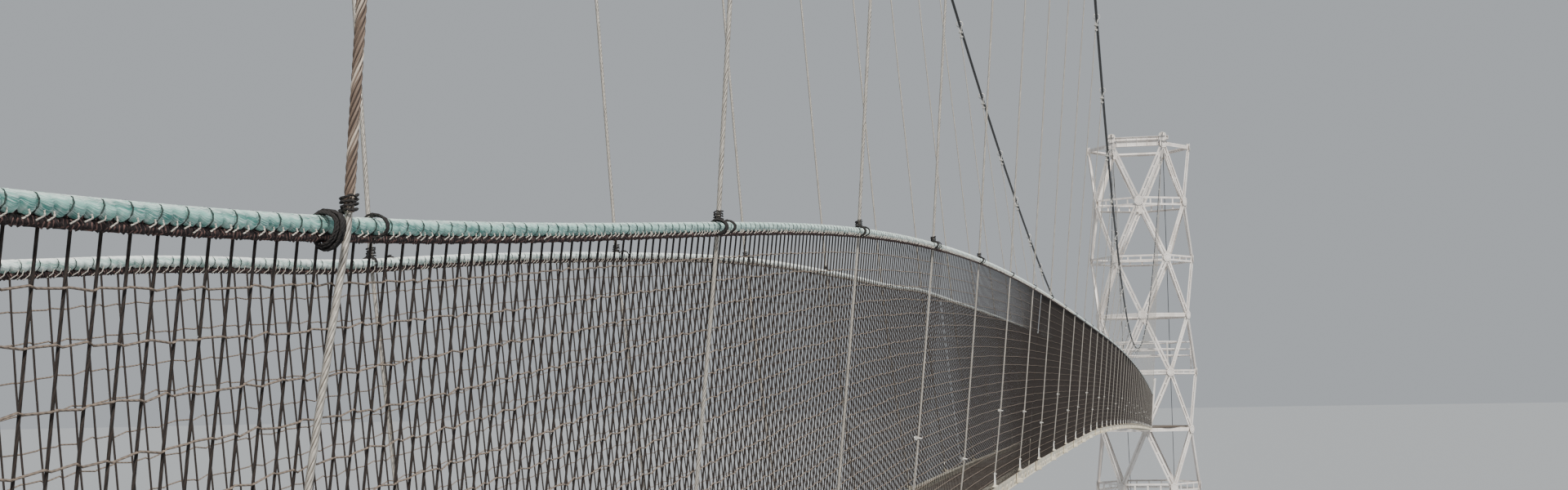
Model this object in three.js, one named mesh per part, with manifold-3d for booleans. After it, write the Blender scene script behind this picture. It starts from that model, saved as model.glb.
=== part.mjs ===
// Rope suspension footbridge with two lattice towers, as a 1:10 model.
// Units are millimetres of the model, +Z is up and +X runs along the walkway.
// The origin is on the ground in the middle of the span.
import * as THREE from 'three';
import { mergeVertices } from 'three/addons/utils/BufferGeometryUtils.js';
import Module from 'manifold-3d';

const wasm = await Module();
wasm.setup();

// Every length below is the real one in millimetres times SCALE.
const SCALE = 1 / 10;

// Span and walkway
const BAY = 1800 * SCALE;
const BAYS = 48;
const HALF_SPAN = (BAYS * BAY) / 2;
const DECK_FALL = 1080 * SCALE;
const NEAR_FALL_POWER = 9;
const FAR_FALL_START = -15000 * SCALE;
const FAR_DECK_POWER = 1.3;
const RAIL_HEIGHT = 1190 * SCALE;
const NEAR_RAIL_FALL = 1220 * SCALE;
const FAR_RAIL_FALL = 1050 * SCALE;
const FAR_RAIL_POWER = 1.9;
const RAIL_HALF_GAP = 360 * SCALE;
const ROPE_RADIUS = 13 * SCALE;
const ROPE_SIDES = 6;
const ROPE_STEPS = 72;
const NEAR_RAIL_RISE = 900 * SCALE;
const FAR_RAIL_RISE = 730 * SCALE;
const RAIL_RISE_LENGTH = 6800 * SCALE;
const RAIL_RISE_POWER = 4;
const LEFT_ROPE_DROP = 70 * SCALE;
const LEFT_DROP_POWER = 4;

// Deck: a ladder of two stringers and rungs with planks laid on the rungs
const DECK_HALF_WIDTH = 225 * SCALE;
const STRINGER_DEPTH = 90 * SCALE;
const STRINGER_WIDTH = 30 * SCALE;
const RUNG_HEIGHT = 30 * SCALE;
const RUNG_LENGTHWISE = 40 * SCALE;
const RUNG_DROP = 50 * SCALE;
const RUNG_HALF_LENGTH = 280 * SCALE;
const PLANK_HALF_WIDTH = 180 * SCALE;
const PLANK_THICKNESS = 25 * SCALE;
const SECTION_EDGES = [9.5, 19.5, 28.5, 38.5];

// Towers: rings of six members, each ring turned by half a side from the next
const TOWER_X = 43400 * SCALE;
const RING_RADIUS = 2060 * SCALE;
const RING_PITCH = 2340 * SCALE;
const RINGS = 9;
const DECK_RING = 3;
const DECK_ABOVE_RING = 80 * SCALE;
const MEMBER_WIDTH = 190 * SCALE;
const MEMBER_DEPTH = 120 * SCALE;
const RING_WIDTHS = [190, 190, 340, 140, 190, 150, 260, 340, 150].map((width) => width * SCALE);
const RING_DEPTH = 100 * SCALE;
const HUB_WIDTH = 310 * SCALE;
const HUB_HEIGHT = 330 * SCALE;
const FOOT_WIDTH = 520 * SCALE;
const FOOT_PLATE = 60 * SCALE;
const FOOT_HEIGHT = 250 * SCALE;
const TIERS = [
  { name: 'lower_tier', from: 0, to: 3 },
  { name: 'middle_tier', from: 3, to: 6 },
  { name: 'upper_tier', from: 6, to: 8 },
];

// Top beam, saddles and main cables
const BEAM_HEIGHT = 140 * SCALE;
const BEAM_WIDTH = 260 * SCALE;
const BEAM_OVERHANG = 230 * SCALE;
const LOWER_BEAM_WIDTH = 140 * SCALE;
const LOWER_BEAM_DEPTH = 240 * SCALE;
const LOWER_BEAM_HALF = 800 * SCALE;
const SADDLE_LENGTH = 420 * SCALE;
const SADDLE_WIDTH = 150 * SCALE;
const SADDLE_HEIGHT = 110 * SCALE;
const SADDLE_BEND = 600 * SCALE;
const SADDLE_STEPS = 6;
const CABLE_RADIUS = 13 * SCALE;
const CABLE_SIDES = 6;
const CABLE_STEPS = 50;
const CLAMP_LENGTH = 50 * SCALE;
const CLAMP_SIZE = 46 * SCALE;
const CABLE_LOW = 2400 * SCALE;
const CABLE_HALF_MID = 490 * SCALE;
const HANGER_RADIUS = 6 * SCALE;
const HANGER_WIDTH = 10 * SCALE;
const HANGER_OUT = 26 * SCALE;
const FIRST_HANGER = 2;

// Backstay anchors
const ANCHOR_X = 59400 * SCALE;
const ANCHOR_LENGTH = 2000 * SCALE;
const ANCHOR_WIDTH = 3200 * SCALE;
const ANCHOR_HEIGHT = 700 * SCALE;
const SHOE_SIZE = 420 * SCALE;

// Nets, landings and end frames
const NET_THICKNESS = 8 * SCALE;
const NET_DROP = 10 * SCALE;
const NET_UNDER_ROPE = 8 * SCALE;
const LANDING_THICKNESS = 50 * SCALE;
const LANDING_LAP = 40 * SCALE;
const POST_SIZE = 80 * SCALE;
const POST_OUT = 30 * SCALE;
const POST_ABOVE_RAIL = 60 * SCALE;

// Clear gap left between two neighbouring solids
const GAP = 0.3;

// Colours seen in the photograph
const PAINT = new THREE.MeshStandardMaterial({ color: 0xc9cbc4, roughness: 0.55, metalness: 0.2 });
const ALUMINIUM = new THREE.MeshStandardMaterial({ color: 0xc4c4bd, roughness: 0.45, metalness: 0.7 });
const TIMBER = new THREE.MeshStandardMaterial({ color: 0x8a7a63, roughness: 0.85, metalness: 0 });
const CABLE = new THREE.MeshStandardMaterial({ color: 0x4a4a47, roughness: 0.5, metalness: 0.6 });
const ROPE = new THREE.MeshStandardMaterial({ color: 0x3f9c8b, roughness: 0.9, metalness: 0 });
const NETTING = new THREE.MeshStandardMaterial({ color: 0x2c2a26, roughness: 0.95, metalness: 0 });
const CONCRETE = new THREE.MeshStandardMaterial({ color: 0x9b978d, roughness: 0.95, metalness: 0 });

// Heights and places worked out from the sizes above
const ringZ = (ring) => FOOT_HEIGHT + ring * RING_PITCH;
const DECK_END_Z = ringZ(DECK_RING) + DECK_ABOVE_RING;
const FRONT_X = TOWER_X - RING_RADIUS - HUB_WIDTH / 2;
const POST_X = FRONT_X - GAP - POST_SIZE / 2;
const DECK_END_X = POST_X - POST_SIZE / 2 - GAP;
const BEAM_X = TOWER_X - RING_RADIUS * Math.cos(Math.PI / 6);
const BEAM_Z = ringZ(RINGS - 1) + HUB_HEIGHT / 2 + GAP;
const SADDLE_Y = RING_RADIUS / 2;
const SADDLE_Z = BEAM_Z + BEAM_HEIGHT + GAP;
const CABLE_TOP = SADDLE_Z + SADDLE_HEIGHT + GAP + CABLE_RADIUS;
const CABLE_BOTTOM = DECK_END_Z + CABLE_LOW;
const SHOE_Z = ANCHOR_HEIGHT + SHOE_SIZE / 3;

// The main cable leaves the saddle at one angle and the backstay at another
const MAIN_ANGLE = Math.atan((2 * (CABLE_TOP - CABLE_BOTTOM)) / BEAM_X);
const STAY_ANGLE = Math.atan((CABLE_TOP - SHOE_Z) / (ANCHOR_X - BEAM_X));
const MAIN_END_X = BEAM_X - SADDLE_BEND * Math.sin(MAIN_ANGLE);
const MAIN_END_Z = CABLE_TOP - SADDLE_BEND * (1 - Math.cos(MAIN_ANGLE));

// How far a line falls from its level part: sharply close to the near tower, gently over the far half
function fallAt(x, nearFall, farFall, farPower) {
  if (x < FAR_FALL_START) return nearFall * (-x / DECK_END_X) ** NEAR_FALL_POWER;
  return farFall * ((x - FAR_FALL_START) / (DECK_END_X - FAR_FALL_START)) ** farPower;
}

// Deck surface along the span
function deckZ(x) {
  return DECK_END_Z + DECK_FALL - fallAt(x, DECK_FALL, DECK_FALL, FAR_DECK_POWER);
}

function deckSlope(x) {
  return deckZ(x + 1) - deckZ(x);
}

// Handrail height: nearly parallel to the deck and rising to the end frames; the left rope hangs a little slack
function railZ(x, side) {
  const past = Math.max(0, Math.abs(x) - (DECK_END_X - RAIL_RISE_LENGTH)) / RAIL_RISE_LENGTH;
  const slack = side > 0 ? LEFT_ROPE_DROP * (Math.abs(x) / DECK_END_X) ** LEFT_DROP_POWER : 0;
  const rise = (x < 0 ? NEAR_RAIL_RISE : FAR_RAIL_RISE) * past ** RAIL_RISE_POWER;
  const fall = fallAt(x, NEAR_RAIL_FALL, FAR_RAIL_FALL, FAR_RAIL_POWER);
  return DECK_END_Z + DECK_FALL + RAIL_HEIGHT - fall + rise - slack;
}

// Main cable between the saddles: a parabola that spreads towards the towers
function cablePoint(x, side) {
  const t = (x / MAIN_END_X) ** 2;
  const y = CABLE_HALF_MID + (SADDLE_Y - CABLE_HALF_MID) * t;
  return new THREE.Vector3(x, side * y, CABLE_BOTTOM + (MAIN_END_Z - CABLE_BOTTOM) * t);
}

// Cable over a saddle: an arc from the main cable's angle to the backstay's
function saddlePoint(angle, side, end, bend) {
  const x = BEAM_X + bend * Math.sin(angle);
  return new THREE.Vector3(end * x, side * SADDLE_Y, CABLE_TOP - SADDLE_BEND + bend * Math.cos(angle));
}

// A closed mesh as a solid that can be joined or cut
function toSolid(geometry) {
  const bare = geometry.index ? geometry.toNonIndexed() : geometry.clone();
  bare.deleteAttribute('normal');
  bare.deleteAttribute('uv');
  const merged = mergeVertices(bare, 1e-3);
  return new wasm.Manifold(new wasm.Mesh({
    numProp: 3,
    vertProperties: merged.attributes.position.array,
    triVerts: new Uint32Array(merged.index.array),
  }));
}

// A solid as a geometry for drawing
function toGeometry(solid) {
  const mesh = solid.getMesh();
  const geometry = new THREE.BufferGeometry();
  geometry.setAttribute('position', new THREE.BufferAttribute(mesh.vertProperties, 3));
  geometry.setIndex(new THREE.BufferAttribute(mesh.triVerts, 1));
  geometry.computeVertexNormals();
  return geometry;
}

function join(geometries) {
  return toGeometry(geometries.map(toSolid).reduce((a, b) => a.add(b)));
}

// Box with its centre at a point
function box(size, centre, turn = 0) {
  return new THREE.BoxGeometry(...size).rotateZ(turn).translate(...centre);
}

// Straight bar between two points; up is the direction its depth lies in
function flatBar(start, end, width, depth, up) {
  const along = end.clone().sub(start);
  const length = along.length();
  along.normalize();
  const across = new THREE.Vector3().crossVectors(up, along).normalize();
  const normal = new THREE.Vector3().crossVectors(along, across);
  const frame = new THREE.Matrix4().makeBasis(along, across, normal);
  const middle = start.clone().add(end).multiplyScalar(0.5);
  return new THREE.BoxGeometry(length, width, depth)
    .applyMatrix4(frame)
    .translate(middle.x, middle.y, middle.z);
}

// Round bar with few sides between two points
function roundBar(start, end, radius, sides) {
  const along = end.clone().sub(start);
  const length = along.length();
  const turn = new THREE.Quaternion().setFromUnitVectors(new THREE.Vector3(0, 1, 0), along.normalize());
  const middle = start.clone().add(end).multiplyScalar(0.5);
  return new THREE.CylinderGeometry(radius, radius, length, sides)
    .applyQuaternion(turn)
    .translate(middle.x, middle.y, middle.z);
}

// Tube along a curve
class PathCurve extends THREE.Curve {
  constructor(pointAt) {
    super();
    this.pointAt = pointAt;
    this.arcLengthDivisions = 800;
  }
  getPoint(t, target = new THREE.Vector3()) {
    return target.copy(this.pointAt(t));
  }
}

function tube(pointAt, radius, sides, steps) {
  const ring = [];
  for (let i = 0; i < sides; i++) {
    const angle = (2 * Math.PI * i) / sides;
    ring.push(new THREE.Vector2(radius * Math.cos(angle), radius * Math.sin(angle)));
  }
  const section = new THREE.Shape(ring);
  return new THREE.ExtrudeGeometry(section, { steps, extrudePath: new PathCurve(pointAt), bevelEnabled: false });
}

// Strip of four sides through a row of places; at(i, across, up) gives its corners at place i
function strip(count, at) {
  const geometry = new THREE.BoxGeometry(1, 1, 1, count - 1, 1, 1);
  const place = geometry.getAttribute('position');
  for (let i = 0; i < place.count; i++) {
    const index = Math.round((place.getX(i) + 0.5) * (count - 1));
    const corner = at(index, place.getY(i), place.getZ(i) + 0.5);
    place.setXYZ(i, corner.x, corner.y, corner.z);
  }
  geometry.computeVertexNormals();
  return geometry;
}

// Band along the walkway between two heights, from y0 to y1
function band(xs, topZ, bottomZ, y0, y1) {
  return strip(xs.length, (i, across, up) => {
    const x = xs[i];
    return new THREE.Vector3(x, y0 + (y1 - y0) * (across + 0.5), bottomZ(x) + (topZ(x) - bottomZ(x)) * up);
  });
}

function stations(from, to, count) {
  return Array.from({ length: count + 1 }, (_, i) => from + ((to - from) * i) / count);
}

// Tower lattice
function ringPoint(ring, corner, end) {
  const offset = ring % 2 === 0 ? 0.5 : 0;
  const angle = ((corner + offset) * Math.PI) / 3;
  const x = end * (TOWER_X - RING_RADIUS * Math.cos(angle));
  return new THREE.Vector3(x, RING_RADIUS * Math.sin(angle), ringZ(ring));
}

function outwardTurn(point, end) {
  return Math.atan2(point.y, point.x - end * TOWER_X);
}

function hub(ring, corner, end) {
  const p = ringPoint(ring, corner, end);
  return box([HUB_WIDTH, HUB_WIDTH, HUB_HEIGHT], p.toArray(), outwardTurn(p, end));
}

function outwards(point, end) {
  return new THREE.Vector3(point.x - end * TOWER_X, point.y, 0).normalize();
}

function member(a, b, end, width = MEMBER_WIDTH, depth = MEMBER_DEPTH) {
  const middle = a.clone().add(b).multiplyScalar(0.5);
  return flatBar(a, b, width, depth, outwards(middle, end));
}

// The top ring has no member at its front, where the lower beam runs
function ringMembers(ring, end) {
  const pieces = [];
  for (let corner = 0; corner < 6; corner++) {
    const from = ringPoint(ring, corner, end);
    const to = ringPoint(ring, corner + 1, end);
    const open = ring === RINGS - 1 && corner === 5;
    if (!open) pieces.push(member(from, to, end, RING_WIDTHS[ring], RING_DEPTH));
    pieces.push(hub(ring, corner, end));
  }
  return pieces;
}

// Each corner of a ring is braced to the two nearest corners of the ring above
function bracing(ring, end) {
  const pieces = [];
  const steps = ring % 2 === 0 ? [0, 1] : [-1, 0];
  for (let corner = 0; corner < 6; corner++) {
    for (const step of steps) {
      pieces.push(member(ringPoint(ring, corner, end), ringPoint(ring + 1, corner + step, end), end));
    }
  }
  return pieces;
}

function feet(end) {
  const pieces = [];
  for (let corner = 0; corner < 6; corner++) {
    const p = ringPoint(0, corner, end);
    const turn = outwardTurn(p, end);
    pieces.push(box([FOOT_WIDTH, FOOT_WIDTH, FOOT_PLATE], [p.x, p.y, FOOT_PLATE / 2], turn));
    pieces.push(box([HUB_WIDTH, HUB_WIDTH, FOOT_HEIGHT], [p.x, p.y, FOOT_HEIGHT / 2], turn));
  }
  return pieces;
}

// A tier holds its rings and the bracing above them, cut level under the next tier's hubs
function tower(end, name) {
  const group = new THREE.Group();
  for (const tier of TIERS) {
    const last = tier === TIERS.at(-1);
    const pieces = tier.from === 0 ? feet(end) : [];
    for (let ring = tier.from; ring < tier.to; ring++) {
      pieces.push(...ringMembers(ring, end), ...bracing(ring, end));
    }
    if (last) pieces.push(...ringMembers(tier.to, end));
    let solid = pieces.map(toSolid).reduce((a, b) => a.add(b));
    if (!last) {
      const cutZ = ringZ(tier.to) - HUB_HEIGHT / 2 - GAP;
      const size = 4 * RING_RADIUS;
      solid = solid.subtract(toSolid(box([size, size, RING_PITCH], [end * TOWER_X, 0, cutZ + RING_PITCH / 2])));
    }
    group.add(named(toGeometry(solid), `${name}_tower_${tier.name}`, PAINT));
  }
  return group;
}

function named(geometry, name, material) {
  const mesh = new THREE.Mesh(geometry, material);
  mesh.name = name;
  return mesh;
}

// Two beams, one above the other, at the two front corners of the top ring, with a saddle near each end
function towerHead(end, name) {
  const group = new THREE.Group();
  const length = 2 * (SADDLE_Y + BEAM_OVERHANG);
  const upper = box([BEAM_WIDTH, length, BEAM_HEIGHT], [end * BEAM_X, 0, BEAM_Z + BEAM_HEIGHT / 2]);
  const lowerSize = [LOWER_BEAM_WIDTH, 2 * LOWER_BEAM_HALF, LOWER_BEAM_DEPTH];
  const lower = box(lowerSize, [end * BEAM_X, 0, BEAM_Z - LOWER_BEAM_DEPTH / 2]);
  group.add(named(join([upper, lower]), `${name}_tower_top_beam`, PAINT));
  for (const [side, hand] of [[1, 'left'], [-1, 'right']]) {
    group.add(named(saddle(side, end), `${name}_${hand}_saddle`, PAINT));
  }
  return group;
}

// Saddle block whose top follows the cable's bend
function saddle(side, end) {
  const bend = SADDLE_BEND - CABLE_RADIUS - GAP;
  const reach = Math.asin(SADDLE_LENGTH / 2 / bend);
  const outline = [
    new THREE.Vector2(end * BEAM_X - SADDLE_LENGTH / 2, SADDLE_Z),
    new THREE.Vector2(end * BEAM_X + SADDLE_LENGTH / 2, SADDLE_Z),
  ];
  for (const angle of stations(reach, -reach, SADDLE_STEPS)) {
    const top = CABLE_TOP - SADDLE_BEND + bend * Math.cos(angle);
    outline.push(new THREE.Vector2(end * BEAM_X + bend * Math.sin(angle), top));
  }
  return new THREE.ExtrudeGeometry(new THREE.Shape(outline), { depth: SADDLE_WIDTH, bevelEnabled: false })
    .rotateX(Math.PI / 2)
    .translate(0, side * SADDLE_Y + SADDLE_WIDTH / 2, 0);
}

// Floor inside the tower on the ring at deck level, with its corners cut clear of the bracing
function landing(end, name) {
  const inner = RING_RADIUS * Math.cos(Math.PI / 6) - RING_DEPTH / 2 + LANDING_LAP;
  const corner = RING_RADIUS - HUB_WIDTH / 2 - GAP;
  const half = Math.acos(inner / corner);
  const outline = [];
  for (let i = 0; i < 6; i++) {
    const angle = ((i + 0.5) * Math.PI) / 3;
    outline.push(new THREE.Vector2(corner * Math.cos(angle - half), corner * Math.sin(angle - half)));
    outline.push(new THREE.Vector2(corner * Math.cos(angle + half), corner * Math.sin(angle + half)));
  }
  const z = ringZ(DECK_RING) + RING_WIDTHS[DECK_RING] / 2 + GAP;
  const plate = new THREE.ExtrudeGeometry(new THREE.Shape(outline), { depth: LANDING_THICKNESS, bevelEnabled: false })
    .translate(end * TOWER_X, 0, z);
  return named(plate, `${name}_landing`, TIMBER);
}

// Header and two leaning posts that carry the ends of the deck, nets and handrail ropes
function endFrame(end, name) {
  const x = end * POST_X;
  const pieces = [
    box([POST_SIZE, 2 * DECK_HALF_WIDTH, STRINGER_DEPTH], [x, 0, DECK_END_Z - STRINGER_DEPTH / 2]),
  ];
  for (const side of [1, -1]) {
    const top = railZ(end * DECK_END_X, side) + POST_ABOVE_RAIL;
    const low = new THREE.Vector3(x, side * (DECK_HALF_WIDTH - POST_SIZE / 2), DECK_END_Z - STRINGER_DEPTH / 2);
    const high = new THREE.Vector3(x, side * (RAIL_HALF_GAP + POST_OUT), top);
    pieces.push(flatBar(low, high, POST_SIZE, POST_SIZE, new THREE.Vector3(0, 1, 0)));
  }
  return named(join(pieces), `${name}_end_frame`, PAINT);
}

// Ladder deck in sections, with a rung under each pair of hangers
function deckStations(index) {
  const edges = [-1, ...SECTION_EDGES, BAYS + 1];
  const from = index === 0 ? -DECK_END_X : stationX(edges[index]) + GAP / 2;
  const to = index === SECTION_EDGES.length ? DECK_END_X : stationX(edges[index + 1]) - GAP / 2;
  const inside = [];
  for (let i = 0; i <= BAYS; i++) {
    const x = stationX(i);
    if (x > from + BAY / 4 && x < to - BAY / 4) inside.push(x);
  }
  return [from, ...inside, to];
}

function stationX(bay) {
  return -HALF_SPAN + bay * BAY;
}

function rung(x) {
  const z = deckZ(x) - RUNG_DROP - RUNG_HEIGHT / 2;
  return new THREE.BoxGeometry(RUNG_LENGTHWISE, 2 * RUNG_HALF_LENGTH, RUNG_HEIGHT)
    .rotateY(-Math.atan(deckSlope(x)))
    .translate(x, 0, z);
}

function deckSection(index) {
  const xs = deckStations(index);
  const under = (x) => deckZ(x) - STRINGER_DEPTH;
  const pieces = [
    band(xs, deckZ, under, DECK_HALF_WIDTH - STRINGER_WIDTH, DECK_HALF_WIDTH),
    band(xs, deckZ, under, -DECK_HALF_WIDTH, STRINGER_WIDTH - DECK_HALF_WIDTH),
    ...xs.slice(1, -1).map(rung),
  ];
  return named(join(pieces), `deck_section_${index + 1}`, ALUMINIUM);
}

function deckPlank(index) {
  const under = (x) => deckZ(x) - RUNG_DROP + GAP;
  const top = (x) => under(x) + PLANK_THICKNESS;
  const plank = band(deckStations(index), top, under, -PLANK_HALF_WIDTH, PLANK_HALF_WIDTH);
  return named(plank, `deck_plank_${index + 1}`, TIMBER);
}

// Places half way between the given ones are added where the handrail rope curves most
function halved(xs) {
  return xs.flatMap((x, i) => (i === 0 ? [x] : [(xs[i - 1] + x) / 2, x]));
}

// Net between the handrail rope and the deck's edge
function netPanel(index, side, hand) {
  const outer = index === 0 || index === SECTION_EDGES.length;
  const xs = outer ? halved(deckStations(index)) : deckStations(index);
  const lowY = DECK_HALF_WIDTH + GAP + NET_THICKNESS / 2;
  const net = strip(xs.length, (i, across, up) => {
    const x = xs[i];
    const bottom = deckZ(x) - NET_DROP;
    const top = railZ(x, side) - ROPE_RADIUS - NET_UNDER_ROPE;
    const y = side * (lowY + (RAIL_HALF_GAP - lowY) * up) + across * NET_THICKNESS;
    return new THREE.Vector3(x, y, bottom + (top - bottom) * up);
  });
  return named(net, `${hand}_net_panel_${index + 1}`, NETTING);
}

function handrailRope(side, hand) {
  const pointAt = (t) => {
    const x = (DECK_END_X - GAP) * (2 * t - 1);
    return new THREE.Vector3(x, side * RAIL_HALF_GAP, railZ(x, side));
  };
  return named(tube(pointAt, ROPE_RADIUS, ROPE_SIDES, ROPE_STEPS), `${hand}_handrail_rope`, ROPE);
}

// Hanger: from the cable outside the handrail rope, then inwards to the rung's end
function hanger(x, side) {
  const places = [
    cablePoint(x, side),
    new THREE.Vector3(x, side * (RAIL_HALF_GAP + ROPE_RADIUS + GAP + HANGER_RADIUS), railZ(x, side)),
    new THREE.Vector3(x, side * (DECK_HALF_WIDTH + HANGER_OUT), deckZ(x) - RUNG_DROP + 2 * GAP),
  ];
  return strip(places.length, (i, across, up) => new THREE.Vector3(
    x + HANGER_WIDTH * (up - 0.5),
    places[i].y + HANGER_WIDTH * across,
    places[i].z,
  ));
}

// Clamp round the cable where it leaves a saddle
function clamp(angle, side, end) {
  const p = saddlePoint(angle, side, end, SADDLE_BEND);
  return new THREE.BoxGeometry(CLAMP_LENGTH, CLAMP_SIZE, CLAMP_SIZE)
    .rotateY(end * angle)
    .translate(p.x, p.y, p.z);
}

// Main cable from anchor to anchor, with the hangers that it carries
function mainCable(side, hand) {
  const pieces = [tube((t) => cablePoint(MAIN_END_X * (2 * t - 1), side), CABLE_RADIUS, CABLE_SIDES, CABLE_STEPS)];
  for (const end of [-1, 1]) {
    const bend = (t) => saddlePoint(-MAIN_ANGLE + t * (MAIN_ANGLE + STAY_ANGLE), side, end, SADDLE_BEND);
    pieces.push(tube(bend, CABLE_RADIUS, CABLE_SIDES, SADDLE_STEPS));
    pieces.push(clamp(-MAIN_ANGLE, side, end), clamp(STAY_ANGLE, side, end));
    const shoe = new THREE.Vector3(end * ANCHOR_X, side * SADDLE_Y, SHOE_Z);
    const top = saddlePoint(STAY_ANGLE, side, end, SADDLE_BEND);
    const towards = top.clone().sub(shoe).normalize();
    shoe.addScaledVector(towards, SHOE_SIZE / 2 + GAP);
    pieces.push(roundBar(top, shoe, CABLE_RADIUS, CABLE_SIDES));
  }
  for (let i = FIRST_HANGER; i <= BAYS - FIRST_HANGER; i++) {
    pieces.push(hanger(stationX(i), side));
  }
  return named(join(pieces), `${hand}_main_cable`, CABLE);
}

// Anchor block with a shoe that faces each backstay
function anchorBlock(end, name) {
  const pieces = [box([ANCHOR_LENGTH, ANCHOR_WIDTH, ANCHOR_HEIGHT], [end * ANCHOR_X, 0, ANCHOR_HEIGHT / 2])];
  for (const side of [1, -1]) {
    const shoe = new THREE.BoxGeometry(SHOE_SIZE, SHOE_SIZE, SHOE_SIZE)
      .rotateY(end * STAY_ANGLE)
      .translate(end * ANCHOR_X, side * SADDLE_Y, SHOE_Z);
    pieces.push(shoe);
  }
  return named(join(pieces), `${name}_anchor_block`, CONCRETE);
}

const bridge = new THREE.Group();
for (const [end, name] of [[-1, 'near'], [1, 'far']]) {
  bridge.add(tower(end, name), towerHead(end, name), landing(end, name));
  bridge.add(endFrame(end, name), anchorBlock(end, name));
}
for (let index = 0; index <= SECTION_EDGES.length; index++) {
  bridge.add(deckSection(index), deckPlank(index));
}
for (const [side, hand] of [[1, 'left'], [-1, 'right']]) {
  for (let index = 0; index <= SECTION_EDGES.length; index++) {
    bridge.add(netPanel(index, side, hand));
  }
  bridge.add(handrailRope(side, hand), mainCable(side, hand));
}

export default bridge;
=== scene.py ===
"""Rope suspension footbridge, 1:10: the finishes and fine parts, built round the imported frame."""

from __future__ import annotations

import logging
import math
import random
from dataclasses import dataclass, field
from enum import Enum
from typing import Callable, Iterable, Sequence, Union

import bmesh
import bpy
from bpy.types import ID, Material, Node, NodeOutputs, NodeSocket, NodeTree, Object
from mathutils import Matrix, Vector


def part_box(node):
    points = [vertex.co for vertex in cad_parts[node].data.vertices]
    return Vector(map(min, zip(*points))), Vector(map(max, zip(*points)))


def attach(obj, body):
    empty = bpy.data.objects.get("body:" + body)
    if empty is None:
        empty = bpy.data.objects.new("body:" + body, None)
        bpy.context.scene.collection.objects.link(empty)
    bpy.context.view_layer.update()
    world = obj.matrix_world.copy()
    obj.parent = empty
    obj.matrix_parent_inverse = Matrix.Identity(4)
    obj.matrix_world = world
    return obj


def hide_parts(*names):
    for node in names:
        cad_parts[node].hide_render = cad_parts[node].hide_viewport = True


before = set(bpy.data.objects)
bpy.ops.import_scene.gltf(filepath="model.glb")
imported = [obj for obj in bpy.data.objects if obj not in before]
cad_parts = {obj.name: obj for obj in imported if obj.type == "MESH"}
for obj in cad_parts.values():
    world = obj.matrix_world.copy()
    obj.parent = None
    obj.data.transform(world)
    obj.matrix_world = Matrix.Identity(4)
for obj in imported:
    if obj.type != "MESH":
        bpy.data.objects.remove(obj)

LOG = logging.getLogger("footbridge")
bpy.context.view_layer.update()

# One real millimetre, in metres of the 1:10 model
MM = 1e-4
TAU = 2 * math.pi
X, Y, Z = Vector((1, 0, 0)), Vector((0, 1, 0)), Vector((0, 0, 1))

# Signs of two like ends or sides, and of four like corners
BOTH = (-1, 1)
CORNERS = ((-1, -1), (-1, 1), (1, -1), (1, 1))

Colour = tuple[float, float, float]
Size = tuple[float, float, float]
Outline = Sequence[tuple[float, float]]
Path = list[Vector]
Copy = tuple[Vector, Matrix, Size]
Socket = NodeSocket
Feed = Union[float, int, bool, str, tuple, Socket, Material, Object]
Feeds = dict[Union[str, int], Feed]
Setting = Union[str, NodeTree]

FULL_SIZE: Size = (1.0, 1.0, 1.0)


def mm(*sizes: float) -> tuple[float, ...]:
    """Returns real millimetres in metres of the model."""
    return tuple(size * MM for size in sizes)


def at(x: float, y: float, z: float) -> Vector:
    """Returns a place or a direction."""
    return Vector((x, y, z))


class Half(Enum):
    """One of two opposite halves of the bridge."""

    @property
    def word(self) -> str:
        """The half's name as the frame's nodes use it."""
        return self.name.lower()


class Side(Half):
    """The two edges of the walkway, seen from the near tower."""

    LEFT = 1
    RIGHT = -1


class End(Half):
    """The two ends of the span."""

    NEAR = -1
    FAR = 1


# Node trees


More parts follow.
